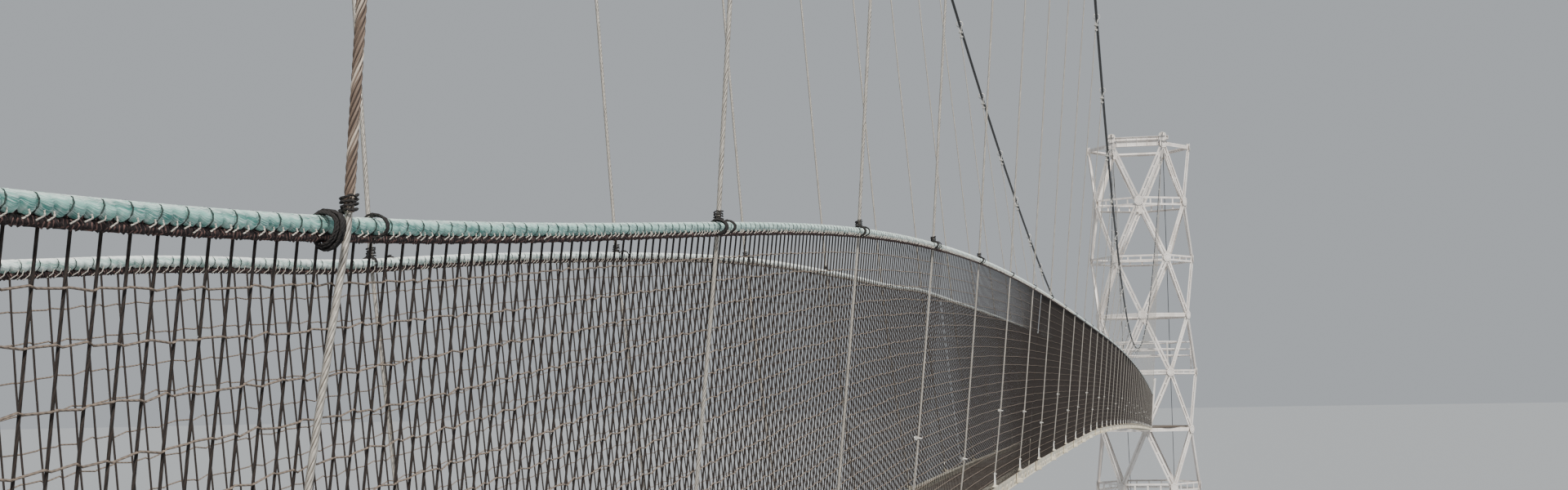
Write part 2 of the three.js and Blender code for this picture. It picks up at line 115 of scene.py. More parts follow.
class Wiring:
    """Adds nodes to one tree and joins them."""

    def __init__(self, tree: NodeTree) -> None:
        """Empties the tree that is to be filled."""
        self.tree = tree
        tree.nodes.clear()

    def node(self, kind: str, feeds: Feeds | None = None, **settings: Setting) -> Node:
        """Adds one node.

        Args:
            kind: The node's type.
            feeds: Values or sockets for its inputs, by name or index.
            settings: Properties to set on it first.

        Returns:
            The node.
        """
        made = self.tree.nodes.new(kind)
        for name, value in settings.items():
            setattr(made, name, value)
        for name, value in (feeds or {}).items():
            if isinstance(value, Socket):
                self.tree.links.new(value, made.inputs[name])
            else:
                made.inputs[name].default_value = value
        return made

    def first(self, kind: str, feeds: Feeds | None = None, **settings: Setting) -> Socket:
        """Adds one node and returns its first output."""
        return self.node(kind, feeds, **settings).outputs[0]

    def math(self, operation: str, first: Feed, second: Feed = 0.0) -> Socket:
        """Returns the result of a math node on one or two values."""
        return self.first("ShaderNodeMath", {0: first, 1: second}, operation=operation)

    def times(self, first: Feed, second: Feed) -> Socket:
        """Returns one value times another."""
        return self.math("MULTIPLY", first, second)

    def plus(self, first: Feed, second: Feed) -> Socket:
        """Returns the sum of two values."""
        return self.math("ADD", first, second)

    def group(self, name: str, feeds: Feeds) -> NodeOutputs:
        """Places a shared node group and returns its outputs."""
        return self.node("ShaderNodeGroup", feeds, node_tree=bpy.data.node_groups[name]).outputs

    def parts(self, vector: Socket) -> NodeOutputs:
        """Returns the three numbers of a vector."""
        return self.node("ShaderNodeSeparateXYZ", {0: vector}).outputs

    def angle(self, vector: Socket) -> Socket:
        """Returns a vector's angle round the third axis."""
        parts = self.parts(vector)
        return self.math("ARCTAN2", parts[1], parts[0])

    def place(self) -> Socket:
        """Returns the place on the piece, in the bridge's frame."""
        return self.node("ShaderNodeTexCoord").outputs["Object"]

    def scaled(self, vector: Socket, scale: Size) -> Socket:
        """Returns a vector with each of its numbers scaled."""
        return self.first("ShaderNodeMapping", {"Vector": vector, "Scale": scale})

    def noise(self, vector: Socket, scale: Feed, detail: float) -> Socket:
        """Returns a noise value that follows a vector."""
        return self.first("ShaderNodeTexNoise", {"Vector": vector, "Scale": scale, "Detail": detail})

    def ramp(self, value: Socket, low: float, high: float) -> Socket:
        """Returns a value that goes smoothly from 0 at low to 1 at high."""
        feeds = {0: value, 1: low, 2: high, 3: 0.0, 4: 1.0}
        return self.first("ShaderNodeMapRange", feeds, interpolation_type="SMOOTHSTEP")

    def blend(self, share: Feed, first: Feed, second: Feed) -> Socket:
        """Returns a colour between two, by a share from 0 to 1."""
        feeds = {6 + i: (*c, 1.0) if isinstance(c, tuple) else c for i, c in enumerate((first, second))}
        return self.node("ShaderNodeMix", {0: share, **feeds}, data_type="RGBA").outputs[2]

    def drawn(self, name: str, output: str = "Fac") -> Socket:
        """Returns a stored attribute in a material's tree."""
        return self.node("ShaderNodeAttribute", attribute_name=name).outputs[output]

    def stored(self, name: str, kind: str) -> Socket:
        """Returns a stored attribute in a geometry tree."""
        return self.node("GeometryNodeInputNamedAttribute", {"Name": name}, data_type=kind).outputs["Attribute"]

    def store(self, geometry: Socket, name: str, value: Socket, kind: str = "FLOAT") -> Socket:
        """Returns geometry with a value stored on its points under a name."""
        feeds = {"Geometry": geometry, "Name": name, "Value": value}
        return self.first("GeometryNodeStoreNamedAttribute", feeds, data_type=kind, domain="POINT")

    def ended(self, geometry: Socket, finish: Socket) -> None:
        """Ends a geometry tree with real meshes in their material."""
        feeds = {"Geometry": self.first("GeometryNodeRealizeInstances", {0: geometry}), "Material": finish}
        self.node("NodeGroupOutput", {0: self.first("GeometryNodeSetMaterial", feeds)})


def new_group(name: str, kind: str, inputs: dict[str, str], outputs: dict[str, str]) -> tuple[Wiring, NodeOutputs]:
    """Makes a node group with named sockets.

    Args:
        name: The group's name.
        kind: The tree's type.
        inputs: Socket type by input name.
        outputs: Socket type by output name.

    Returns:
        The group's wiring, and what the group is given.
    """
    tree = bpy.data.node_groups.new(name, kind)
    for direction, sockets in (("INPUT", inputs), ("OUTPUT", outputs)):
        for title, socket in sockets.items():
            tree.interface.new_socket(title, in_out=direction, socket_type=socket)
    w = Wiring(tree)
    return w, w.node("NodeGroupInput").outputs


def swept_cord_tree() -> NodeTree:
    """Makes the tree that sweeps a round or lobed section along each line of a mesh.

    Returns:
        The tree. It stores along, phase and around for the finishes.
    """
    inputs = {"Geometry": "NodeSocketGeometry", "Sides": "NodeSocketInt", "Lobes": "NodeSocketInt"}
    for name in ("Radius", "Lobe Depth", "Turns per Metre", "Pattern Turns per Metre"):
        inputs[name] = "NodeSocketFloat"
    inputs["Finish"] = "NodeSocketMaterial"
    w, given = new_group("swept_cord", "GeometryNodeTree", inputs, {"Geometry": "NodeSocketGeometry"})
    line = w.first("GeometryNodeMeshToCurve", {"Mesh": given["Geometry"]})
    length = w.node("GeometryNodeSplineParameter").outputs["Length"]
    turn = w.times(w.times(length, given["Turns per Metre"]), TAU)
    line = w.first("GeometryNodeSetCurveTilt", {"Curve": line, "Tilt": turn})
    phase = w.times(w.times(length, given["Pattern Turns per Metre"]), -TAU)
    line = w.store(w.store(line, "along", length), "phase", phase)
    feeds = {"Resolution": given["Sides"], "Radius": 1.0}
    section = w.first("GeometryNodeCurvePrimitiveCircle", feeds, mode="RADIUS")
    place = w.first("GeometryNodeInputPosition")
    ring = w.store(section, "around", place, "FLOAT_VECTOR")
    wave = w.math("COSINE", w.times(w.angle(place), given["Lobes"]))
    reach = w.times(w.plus(w.times(wave, given["Lobe Depth"]), 1.0), given["Radius"])
    lobed = w.first("ShaderNodeVectorMath", {0: place, "Scale": reach}, operation="SCALE")
    ring = w.first("GeometryNodeSetPosition", {"Geometry": ring, "Position": lobed})
    feeds = {"Curve": line, "Profile Curve": ring, "Scale": w.stored("thick", "FLOAT"), "Fill Caps": True}
    skin = w.first("GeometryNodeCurveToMesh", feeds)
    w.ended(w.first("GeometryNodeSetShadeSmooth", {0: skin}), given["Finish"])
    return w.tree


def set_out_tree() -> NodeTree:
    """Makes the tree that sets copies of a part out, turned and scaled by attributes.

    Returns:
        The tree.
    """
    inputs = {"Geometry": "NodeSocketGeometry", "Part": "NodeSocketObject", "Finish": "NodeSocketMaterial"}
    w, given = new_group("set_out_parts", "GeometryNodeTree", inputs, {"Geometry": "NodeSocketGeometry"})
    part = w.node("GeometryNodeObjectInfo", {"Object": given["Part"]}).outputs["Geometry"]
    turned = w.first("FunctionNodeEulerToRotation", {0: w.stored("turn", "FLOAT_VECTOR")})
    size = w.stored("size", "FLOAT_VECTOR")
    feeds = {"Points": given["Geometry"], "Instance": part, "Rotation": turned, "Scale": size}
    w.ended(w.first("GeometryNodeInstanceOnPoints", feeds), given["Finish"])
    return w.tree


# Making meshes


def link(name: str, data: ID) -> Object:
    """Returns a new object in the scene that holds a mesh, a lamp or a camera.

    Args:
        name: The object's name.
        data: What it holds.

    Returns:
        The object.
    """
    made = bpy.data.objects.new(name, data)
    bpy.context.scene.collection.objects.link(made)
    return made


def grown(source: Object, tree: NodeTree, values: dict[str, Feed]) -> Object:
    """Runs a node tree on an object and keeps the plain mesh that comes out.

    Args:
        source: The object whose mesh goes in; it is removed.
        tree: The tree to run.
        values: The tree's inputs by name.

    Returns:
        A new object with the plain mesh.
    """
    modifier = source.modifiers.new("grow", "NODES")
    modifier.node_group = tree
    for item in tree.interface.items_tree:
        if item.item_type == "SOCKET" and item.in_out == "INPUT" and item.name in values:
            modifier[item.identifier] = values[item.name]
    source.update_tag()
    depsgraph = bpy.context.evaluated_depsgraph_get()
    mesh = bpy.data.meshes.new_from_object(source.evaluated_get(depsgraph), depsgraph=depsgraph)
    made = link(source.name + "_mesh", mesh)
    bpy.data.objects.remove(source)
    return made


@dataclass(frozen=True)
class Section:
    """The section of a cord, wire or pipe.

    Turns twist the mesh, and pattern turns only what the finish draws on it.
    """

    radius: float
    sides: int = 6
    lobes: int = 0
    lobe_depth: float = 0.0
    turns: float = 0.0
    pattern_turns: float = 0.0


class Workshop:
    """Makes meshes with the two node trees, which are built once."""

    def __init__(self) -> None:
        """Builds the trees."""
        self.cord_tree = swept_cord_tree()
        self.parts_tree = set_out_tree()

    def cords(
        self, paths: Iterable[Path], section: Section, finish: Material, thick: Callable[[Vector], float] | None = None
    ) -> Object:
        """Sweeps a section along each path.

        Args:
            paths: Lines of points.
            section: The section to sweep.
            finish: The material.
            thick: A factor on the radius by place, or None for 1.

        Returns:
            One object with every swept line.
        """
        places: Path = []
        edges: list[tuple[int, int]] = []
        for path in paths:
            start = len(places)
            places.extend(path)
            edges.extend((i, i + 1) for i in range(start, len(places) - 1))
        mesh = bpy.data.meshes.new("lines")
        mesh.from_pydata(places, edges, [])
        factor = mesh.attributes.new("thick", "FLOAT", "POINT")
        factor.data.foreach_set("value", [thick(p) if thick else 1.0 for p in places])
        values = {"Radius": section.radius, "Sides": section.sides, "Lobes": section.lobes, "Finish": finish}
        values |= {"Lobe Depth": section.lobe_depth, "Turns per Metre": section.turns}
        values["Pattern Turns per Metre"] = section.pattern_turns
        return grown(link("lines", mesh), self.cord_tree, values)

    def copies(self, part: Object, places: Sequence[Copy], finish: Material) -> Object:
        """Sets copies of a part out at places.

        Args:
            part: The part, at the origin.
            places: A point, a 3x3 turn and a scale for each copy.
            finish: The material.

        Returns:
            One object with every copy.
        """
        mesh = bpy.data.meshes.new("places")
        mesh.from_pydata([point for point, _, _ in places], [], [])
        turn = mesh.attributes.new("turn", "FLOAT_VECTOR", "POINT")
        turn.data.foreach_set("vector", [a for _, matrix, _ in places for a in matrix.to_euler("XYZ")])
        size = mesh.attributes.new("size", "FLOAT_VECTOR", "POINT")
        size.data.foreach_set("vector", [a for _, _, scale in places for a in scale])
        return grown(link("places", mesh), self.parts_tree, {"Part": part, "Finish": finish})


@dataclass
class Solid:
    """Corners and faces of a mesh in the making, in the bridge's frame."""

    corners: Path = field(default_factory=list)
    faces: list[tuple[int, ...]] = field(default_factory=list)

    def loft(self, rings: Sequence[Path]) -> None:
        """Adds a skin over rings of equal count, closed at both ends.

        Args:
            rings: The rings, from one end to the other.
        """
        base = len(self.corners)
        count = len(rings[0])
        for ring in rings:
            self.corners.extend(ring)
        for r in range(len(rings) - 1):
            low = base + r * count
            for i in range(count):
                j = (i + 1) % count
                self.faces.append((low + i, low + j, low + count + j, low + count + i))
        self.faces.append(tuple(range(base + count - 1, base - 1, -1)))
        last = base + (len(rings) - 1) * count
        self.faces.append(tuple(range(last, last + count)))

    def prism(self, outline: Outline, start: Vector, end: Vector, across: Vector) -> None:
        """Adds a straight bar of any section, with the section's first numbers counted across."""
        _, side, normal = basis(end - start, across).col
        self.loft([[p + side * u + normal * v for u, v in outline] for p in (start, end)])

    def rod(self, radius: float, sides: int, start: Vector, end: Vector, across: Vector = X) -> None:
        """Adds a straight bar with a regular section."""
        self.prism(circle(radius, sides), start, end, across)

    def box(self, centre: Vector, size: Size, cut: float = 0.0, along: Vector = X, across: Vector = Y) -> None:
        """Adds a box.

        Args:
            centre: Its middle.
            size: Its length, width and height.
            cut: How far its edges are cut.
            along: The direction of its length.
            across: The direction of its width.
        """
        half = along.normalized() * (size[0] / 2)
        outline = cut_rectangle(size[1], size[2], cut) if cut else rectangle(size[1], size[2])
        self.prism(outline, centre - half, centre + half, across)

    def made(self, name: str, finish: Material, smooth: bool = False) -> Object:
        """Turns the corners and faces into an object.

        Args:
            name: The object's name.
            finish: Its material.
            smooth: Whether its faces are shaded smooth.

        Returns:
            The object.
        """
        mesh = bpy.data.meshes.new(name)
        mesh.from_pydata(self.corners, [], self.faces)
        mesh.materials.append(finish)
        work = bmesh.new()
        work.from_mesh(mesh)
        bmesh.ops.recalc_face_normals(work, faces=work.faces)
        work.to_mesh(mesh)
        work.free()
        mesh.polygons.foreach_set("use_smooth", [smooth] * len(mesh.polygons))
        return link(name, mesh)


def rectangle(width: float, height: float) -> Outline:
    """Returns a rectangle about the origin."""
    w, h = width / 2, height / 2
    return [(-w, -h), (w, -h), (w, h), (-w, h)]


def cut_rectangle(width: float, height: float, cut: float) -> Outline:
    """Returns a rectangle about the origin with its corners cut off."""
    w, h, c = width / 2, height / 2, min(cut, width * 0.45, height * 0.45)
    return [(c - w, -h), (w - c, -h), (w, c - h), (w, h - c), (w - c, h), (c - w, h), (-w, h - c), (-w, c - h)]


def circle(radius: float, count: int) -> Outline:
    """Returns a regular polygon about the origin."""
    return [(radius * math.cos(TAU * i / count), radius * math.sin(TAU * i / count)) for i in range(count)]


def basis(along: Vector, across: Vector) -> Matrix:
    """Returns the turn that takes X to one direction and Y towards another.

    Args:
        along: Where X goes.
        across: Where Y goes, less its share along X.

    Returns:
        The turn.
    """
    a = along.normalized()
    c = (across - a * across.dot(a)).normalized()
    return Matrix((a, c, a.cross(c))).transposed()


def steps(start: float, end: float, longest: float) -> list[float]:
    """Returns evenly spaced numbers from start to end, no further apart than longest."""
    count = max(1, math.ceil(abs(end - start) / longest))
    return [start + (end - start) * i / count for i in range(count + 1)]


def middle(node: str) -> tuple[float, float]:
    """Returns the middle of a CAD node's box, along the span and across it."""
    low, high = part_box(node)
    return (low.x + high.x) / 2, (low.y + high.y) / 2


def settle(name: str, made: Sequence[Object], stands_for: Sequence[str] = ()) -> None:
    """Joins objects into one piece of the bridge and ties it to the frame.

    Args:
        name: The piece's name.
        made: The objects to join.
        stands_for: CAD nodes that this piece replaces.
    """
    first = made[0]
    if len(made) > 1:
        with bpy.context.temp_override(active_object=first, selected_editable_objects=list(made)):
            bpy.ops.object.join()
    first.name = name
    first.data.name = name
    for extra in ("turn", "size", "thick"):
        if extra in first.data.attributes:
            first.data.attributes.remove(first.data.attributes[extra])
    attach(first, "root")
    if stands_for:
        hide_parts(*stands_for)
    first.data.calc_loop_triangles()
    LOG.info("%s: %d triangles", name, len(first.data.loop_triangles))


# Finishes


def wear_group() -> None:
    """Makes the shader group that gives broad patches, vertical streaks and fine grain."""
    inputs = {"Patch Scale": "NodeSocketFloat", "Grain Scale": "NodeSocketFloat"}
    outputs = {name: "NodeSocketFloat" for name in ("Patches", "Streaks", "Grain")}
    w, given = new_group("surface_wear", "ShaderNodeTree", inputs, outputs)
    place = w.place()
    patches = w.noise(place, given["Patch Scale"], 5.0)
    streaks = w.noise(w.scaled(place, (1.0, 1.0, 0.12)), w.times(given["Patch Scale"], 6.0), 4.0)
    grain = w.noise(place, given["Grain Scale"], 2.0)
    w.node("NodeGroupOutput", {0: w.ramp(patches, 0.35, 0.65), 1: w.ramp(streaks, 0.4, 0.7), 2: grain})


def lay_group() -> None:
    """Makes the shader group that draws the strands of a laid cord from its attributes."""
    inputs = {"Strands": "NodeSocketFloat", "Fibre Scale": "NodeSocketFloat"}
    outputs = {name: "NodeSocketFloat" for name in ("Crown", "One Strand", "Fibres")}
    w, given = new_group("strand_lay", "ShaderNodeTree", inputs, outputs)
    angle = w.plus(w.angle(w.drawn("around", "Vector")), w.drawn("phase"))
    crown = w.plus(w.times(w.math("COSINE", w.times(angle, given["Strands"])), 0.5), 0.5)
    one = w.ramp(w.math("COSINE", angle), 0.55, 0.8)
    feeds = {0: w.math("COSINE", angle), 1: w.math("SINE", angle), 2: w.times(w.drawn("along"), 70.0)}
    fibres = w.noise(w.first("ShaderNodeCombineXYZ", feeds), given["Fibre Scale"], 3.0)
    w.node("NodeGroupOutput", {0: crown, 1: one, 2: fibres})


@dataclass(frozen=True)
class Surface:
    """What a finish feeds into its shader."""

    colour: Socket
    rough: Feed
    height: Socket
    depth: float
    metallic: float = 0.0


@dataclass(frozen=True)
class Finish:
    """A named material, whose kind says what its surface looks like."""

    name: str

    def surface(self, w: Wiring) -> Surface:
        """Adds the nodes of this kind of finish, and returns what the shader takes."""
        raise NotImplementedError

    def made(self) -> Material:
        """Builds the material, which ends in a bump and one Principled shader.

        Returns:
            The material.
        """
        material = bpy.data.materials.new(self.name)
        material.use_nodes = True
        w = Wiring(material.node_tree)
        look = self.surface(w)
        bump = w.first("ShaderNodeBump", {"Height": look.height, "Distance": look.depth, "Strength": 0.8})
        feeds = {"Base Color": look.colour, "Roughness": look.rough, "Metallic": look.metallic, "Normal": bump}
        shader = w.first("ShaderNodeBsdfPrincipled", feeds)
        w.node("ShaderNodeOutputMaterial", {"Surface": shader})
        return material


@dataclass(frozen=True)
class CordFinish(Finish):
    """A laid cord, rope or wire: strands with painted shade in the grooves between them, fibres and an odd strand."""

    colour: Colour
    # The colour of the grooves between the strands: painted shade
    groove: Colour
    strands: int
    odd: Colour | None = None
    # Colour of the painted highlight on top (partly whitish fuzz) and of the paler parts, and the share of it near by
    bleached: Colour | None = None
    bleach: float = 0.6
    fibre: Colour | None = None
    fibre_scale: float = 6.0
    roughness: float = 0.85
    metallic: float = 0.0
    depth: float = 0.9 * MM

    def surface(self, w: Wiring) -> Surface:
        """Adds the strands with painted shade in their grooves, their fibres, and a painted highlight on top with paler
        parts.

        Args:
            w: The material's wiring.

        Returns:
            What the shader takes.
        """
        lay = w.group("strand_lay", {"Strands": float(self.strands), "Fibre Scale": self.fibre_scale})
        fibres = lay["Fibres"]
        crown = w.ramp(lay["Crown"], 0.02, 0.6)
        # Painted shade in the grooves between the strands
        colour = w.blend(crown, self.groove, self.colour)
        if self.odd:
            colour = w.blend(w.times(lay["One Strand"], crown), colour, self.odd)
        light = self.fibre or tuple(min(1.0, c * 1.35 + 0.02) for c in self.colour)
        colour = w.blend(w.times(w.ramp(fibres, 0.45, 0.65), 0.7), colour, light)
        # Painted highlight on the cord's top, and paler colour on faces along the span and far along it
        if self.bleached:
            colour = w.blend(self.faded(w, fibres), colour, self.bleached)
        rough = w.plus(w.times(fibres, 0.15), self.roughness - 0.1)
        height = w.plus(lay["Crown"], w.times(fibres, 0.7))
        return Surface(colour, rough, height, self.depth, self.metallic)

    def faded(self, w: Wiring, fibres: Socket) -> Socket:
        """Adds the share that is painted paler: a painted highlight on top, partly whitish fuzz, and paler colour on
        faces that point along the span and far along it.

        Args:
            w: The material's wiring.
            fibres: The cord's fibres, which break up the edge.

        Returns:
            A share from 0 to 1.
        """
        facing = w.parts(w.node("ShaderNodeNewGeometry").outputs["Normal"])
        # Painted highlight where the cord faces up, partly whitish fuzz, broken by the fibres
        top = w.times(w.ramp(facing[2], 0.1, 0.95), w.ramp(fibres, 0.25, 0.55))
        # Paler colour on faces that point along the span
        steep = w.times(w.ramp(w.math("ABSOLUTE", facing[0]), 0.2, 0.6), 1.3)
        near = w.times(w.math("MAXIMUM", top, steep), self.bleach)
        # Paler colour far along the span
        far = w.times(w.ramp(w.parts(w.place())[0], -3.85, -3.2), 0.75)
        return w.math("MAXIMUM", near, far)


@dataclass(frozen=True)
class MetalFinish(Finish):
    """Painted or bare metal with grime in patches and streaks, and rust in spots."""

    colour: Colour
    grime: Colour
    rust: Colour
    rust_from: float
    metallic: float = 0.0
    roughness: float = 0.5
    patch_scale: float = 9.0
    grain_scale: float = 700.0
    depth: float = 0.6 * MM

    def surface(self, w: Wiring) -> Surface:
        """Adds the grime and the rust.

        Args:
            w: The material's wiring.

        Returns:
            What the shader takes.
        """
        wear = w.group("surface_wear", {"Patch Scale": self.patch_scale, "Grain Scale": self.grain_scale})
        dirt = w.times(w.plus(wear["Patches"], wear["Streaks"]), 0.3)
        colour = w.blend(dirt, self.colour, self.grime)
        specks = w.noise(w.place(), self.patch_scale * 14.0, 6.0)
        spots = w.ramp(specks, self.rust_from, self.rust_from + 0.08)
        colour = w.blend(spots, colour, self.rust)
        rough = w.plus(w.times(w.plus(wear["Patches"], spots), 0.18), self.roughness - 0.1)
        height = w.plus(w.times(wear["Grain"], 0.4), w.times(spots, -0.6))
        return Surface(colour, rough, height, self.depth, self.metallic)


@dataclass(frozen=True)
class TimberFinish(Finish):
    """Weathered boards with grain along the walkway."""

    colour: Colour
    grey: Colour
    dark: Colour
    depth: float = 1.5 * MM

    def surface(self, w: Wiring) -> Surface:
        """Adds the grain and the weathering.

        Args:
            w: The material's wiring.

        Returns:
            What the shader takes.
        """
        wear = w.group("surface_wear", {"Patch Scale": 14.0, "Grain Scale": 900.0})
        grain = w.noise(w.scaled(w.place(), (0.06, 1.0, 1.0)), 1500.0, 4.0)
        colour = w.blend(wear["Patches"], self.colour, self.grey)
        colour = w.blend(w.times(w.ramp(grain, 0.5, 0.75), 0.8), colour, self.dark)
        return Surface(colour, w.plus(w.times(grain, 0.2), 0.7), grain, self.depth)


@dataclass(frozen=True)
class ConcreteFinish(Finish):
    """Cast concrete with stains, pores and form-board lines."""

    colour: Colour
    stain: Colour
    board: float = 140 * MM
    depth: float = 4 * MM

    def surface(self, w: Wiring) -> Surface:
        """Adds the stains, the pores and the lines between the form boards.

        Args:
            w: The material's wiring.

        Returns:
            What the shader takes.
        """
        wear = w.group("surface_wear", {"Patch Scale": 12.0, "Grain Scale": 450.0})
        place = w.place()
        colour = w.blend(w.times(wear["Patches"], 0.6), self.colour, self.stain)
        colour = w.blend(w.times(wear["Streaks"], 0.4), colour, self.stain)
        pores = w.ramp(w.noise(place, 900.0, 1.0), 0.62, 0.7)
        boards = w.math("SINE", w.times(w.parts(place)[2], math.pi / self.board))
        joints = w.ramp(w.math("ABSOLUTE", boards), 0.0, 0.08)
        height = w.plus(w.times(pores, -0.6), w.plus(joints, w.times(wear["Grain"], 0.3)))
        rough = w.plus(w.times(wear["Grain"], 0.15), 0.8)
        return Surface(w.blend(pores, colour, self.stain), rough, height, self.depth)


@dataclass(frozen=True)
class FloorFinish(Finish):
    """A pale, even floor."""

    pale: Colour = (0.30, 0.315, 0.33)
    paler: Colour = (0.318, 0.3339, 0.3498)
    depth: float = 1 * MM

    def surface(self, w: Wiring) -> Surface:
        """Adds very soft patches, and returns what the shader takes."""
        soft = w.noise(w.place(), 0.7, 2.0)
        return Surface(w.blend(w.times(soft, 0.1), self.pale, self.paler), 0.9, soft, self.depth)


class Finishes:
    """Every material of the bridge, with its colours taken from the photograph, and the floor's."""

    def __init__(self) -> None:
        """Builds the materials."""
        wear_group()
        lay_group()
        rope = {"strands": 3, "fibre_scale": 9.0, "depth": 2.2 * MM}
        self.rope = CordFinish(
            "rope_turquoise", (0.25, 0.53, 0.46), (0.06, 0.24, 0.21), **rope,
            bleached=(0.92, 0.96, 0.92), bleach=0.55, fibre=(0.58, 0.80, 0.75),
        ).made()
        # The far rope: paler colours, with the painted highlight on top at full share
        self.far_rope = CordFinish(
            "rope_turquoise_pale", (0.66, 0.84, 0.79), (0.22, 0.44, 0.38), **rope,
            bleached=(0.96, 0.98, 0.95), bleach=1.0, fibre=(0.90, 0.97, 0.94),
        ).made()
        self.lacing = CordFinish("lacing_black", (0.016, 0.013, 0.012), (0.004, 0.003, 0.003), 3).made()
        self.loops = CordFinish("lacing_teal", (0.03, 0.055, 0.05), (0.008, 0.016, 0.014), 3).made()
        self.ties = CordFinish("tie_cord_beige", (0.74, 0.69, 0.62), (0.25, 0.2, 0.15), 3).made()
        self.border = CordFinish(
            "border_cord", (0.022, 0.011, 0.011), (0.006, 0.003, 0.003), 3, odd=(0.26, 0.14, 0.12)
        ).made()
        self.net_down = CordFinish("net_cord_black", (0.024, 0.015, 0.011), (0.006, 0.004, 0.003), 2).made()
        self.net_along = CordFinish("net_twine_beige", (0.29, 0.225, 0.175), (0.10, 0.075, 0.06), 2).made()
        self.wire = CordFinish(
            "hanger_wire", (0.50, 0.47, 0.42), (0.14, 0.12, 0.10), 6,
            fibre_scale=4.0, roughness=0.5, metallic=0.45, depth=0.5 * MM,
        ).made()
        self.old_wire = CordFinish(
            "hanger_rope_brown", (0.17, 0.12, 0.09), (0.03, 0.02, 0.016), 6, odd=(0.55, 0.47, 0.39),
            fibre_scale=4.0, roughness=0.7, metallic=0.1, depth=0.9 * MM,
        ).made()
        self.cable = CordFinish(
            "main_cable_dark", (0.035, 0.034, 0.034), (0.008, 0.008, 0.008), 6,
            fibre_scale=4.0, roughness=0.5, metallic=0.4, depth=1.2 * MM,
        ).made()
        self.paint = MetalFinish("tower_paint", (0.90, 0.86, 0.82), (0.50, 0.43, 0.38), (0.24, 0.11, 0.05), 0.69).made()
        self.deck = MetalFinish(
            "deck_metal_cream", (0.80, 0.75, 0.62), (0.42, 0.34, 0.21), (0.12, 0.07, 0.04), 0.64,
            metallic=0.15, roughness=0.55, patch_scale=22.0,
        ).made()
        # Painted shade for the inside of the hollow rungs, seen at their ends
        self.hollow = MetalFinish(
            "rung_end_dark", (0.05, 0.042, 0.035), (0.02, 0.016, 0.012), (0.12, 0.05, 0.02), 0.6
        ).made()
        self.zinc = MetalFinish(
            "galvanised", (0.70, 0.70, 0.67), (0.38, 0.35, 0.31), (0.28, 0.14, 0.07), 0.68,
            metallic=0.5, roughness=0.42, patch_scale=60.0,
        ).made()
        self.timber = TimberFinish(
            "walk_board_timber", (0.10, 0.072, 0.05), (0.15, 0.13, 0.11), (0.03, 0.022, 0.016)
        ).made()
        self.concrete = ConcreteFinish("anchor_concrete", (0.50, 0.48, 0.44), (0.22, 0.20, 0.17)).made()
        self.floor = FloorFinish("floor_pale").made()


# The lines that everything hangs on


@dataclass(frozen=True)
class Span:
    """Deck, handrail and cable lines of the CAD model, in metres."""

    # Bays, and the heights that the towers and anchor blocks give
    bay: float = 1800 * MM
    bays: int = 48
    first_hanger: int = 2
    section_ends: tuple[float, ...] = (9.5, 19.5, 28.5, 38.5)
    gap: float = 3 * MM
    tower_foot: float = 250 * MM
    ring_pitch: float = 2340 * MM
    deck_ring: int = 3
    deck_rise: float = 80 * MM
    block_top: float = 700 * MM
    shoe_height: float = 420 * MM
    # The deck, level in the middle
    deck_half: float = 225 * MM
    deck_fall: float = 1080 * MM
    near_power: float = 9.0
    far_start: float = -15000 * MM
    far_deck_power: float = 1.3
    # The handrail ropes, which rise again to the end posts
    rail_height: float = 1190 * MM
    rail_half_gap: float = 360 * MM
    near_rail_fall: float = 1220 * MM
    far_rail_fall: float = 1050 * MM
    far_rail_power: float = 1.9
    near_rise: float = 900 * MM
    far_rise: float = 730 * MM
    rise_length: float = 6800 * MM
    rise_power: int = 4
    left_drop: float = 70 * MM
    left_power: int = 4
    # The main cables and their bend over the saddles
    cable_low: float = 2400 * MM
    cable_mid: float = 490 * MM
    cable_radius: float = 13 * MM
    bend: float = 600 * MM
    # The nets' feet and heads, from the deck's edge and from the rope
    net_foot_out: float = 10 * MM
    net_head_in: float = 7 * MM
    left_belly: float = 1.2
    # How much nearer than their bays some hangers hang
    early: float = 20 * MM
    early_bay: int = 4
    first_early: float = 25 * MM
    first_to: float = -3.7
    # How far outside the rope's centre a hanger passes it
    left_beside: float = 12 * MM
    first_beside: float = 14 * MM
    right_beside: float = 2 * MM

    @property
    def end_x(self) -> float:
        """Where the deck ends, from the near end frame's own box."""
        return -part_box("near_end_frame")[1].x - self.gap

    @property
    def end_z(self) -> float:
        """The deck's height at its ends."""
        return self.tower_foot + self.deck_ring * self.ring_pitch + self.deck_rise


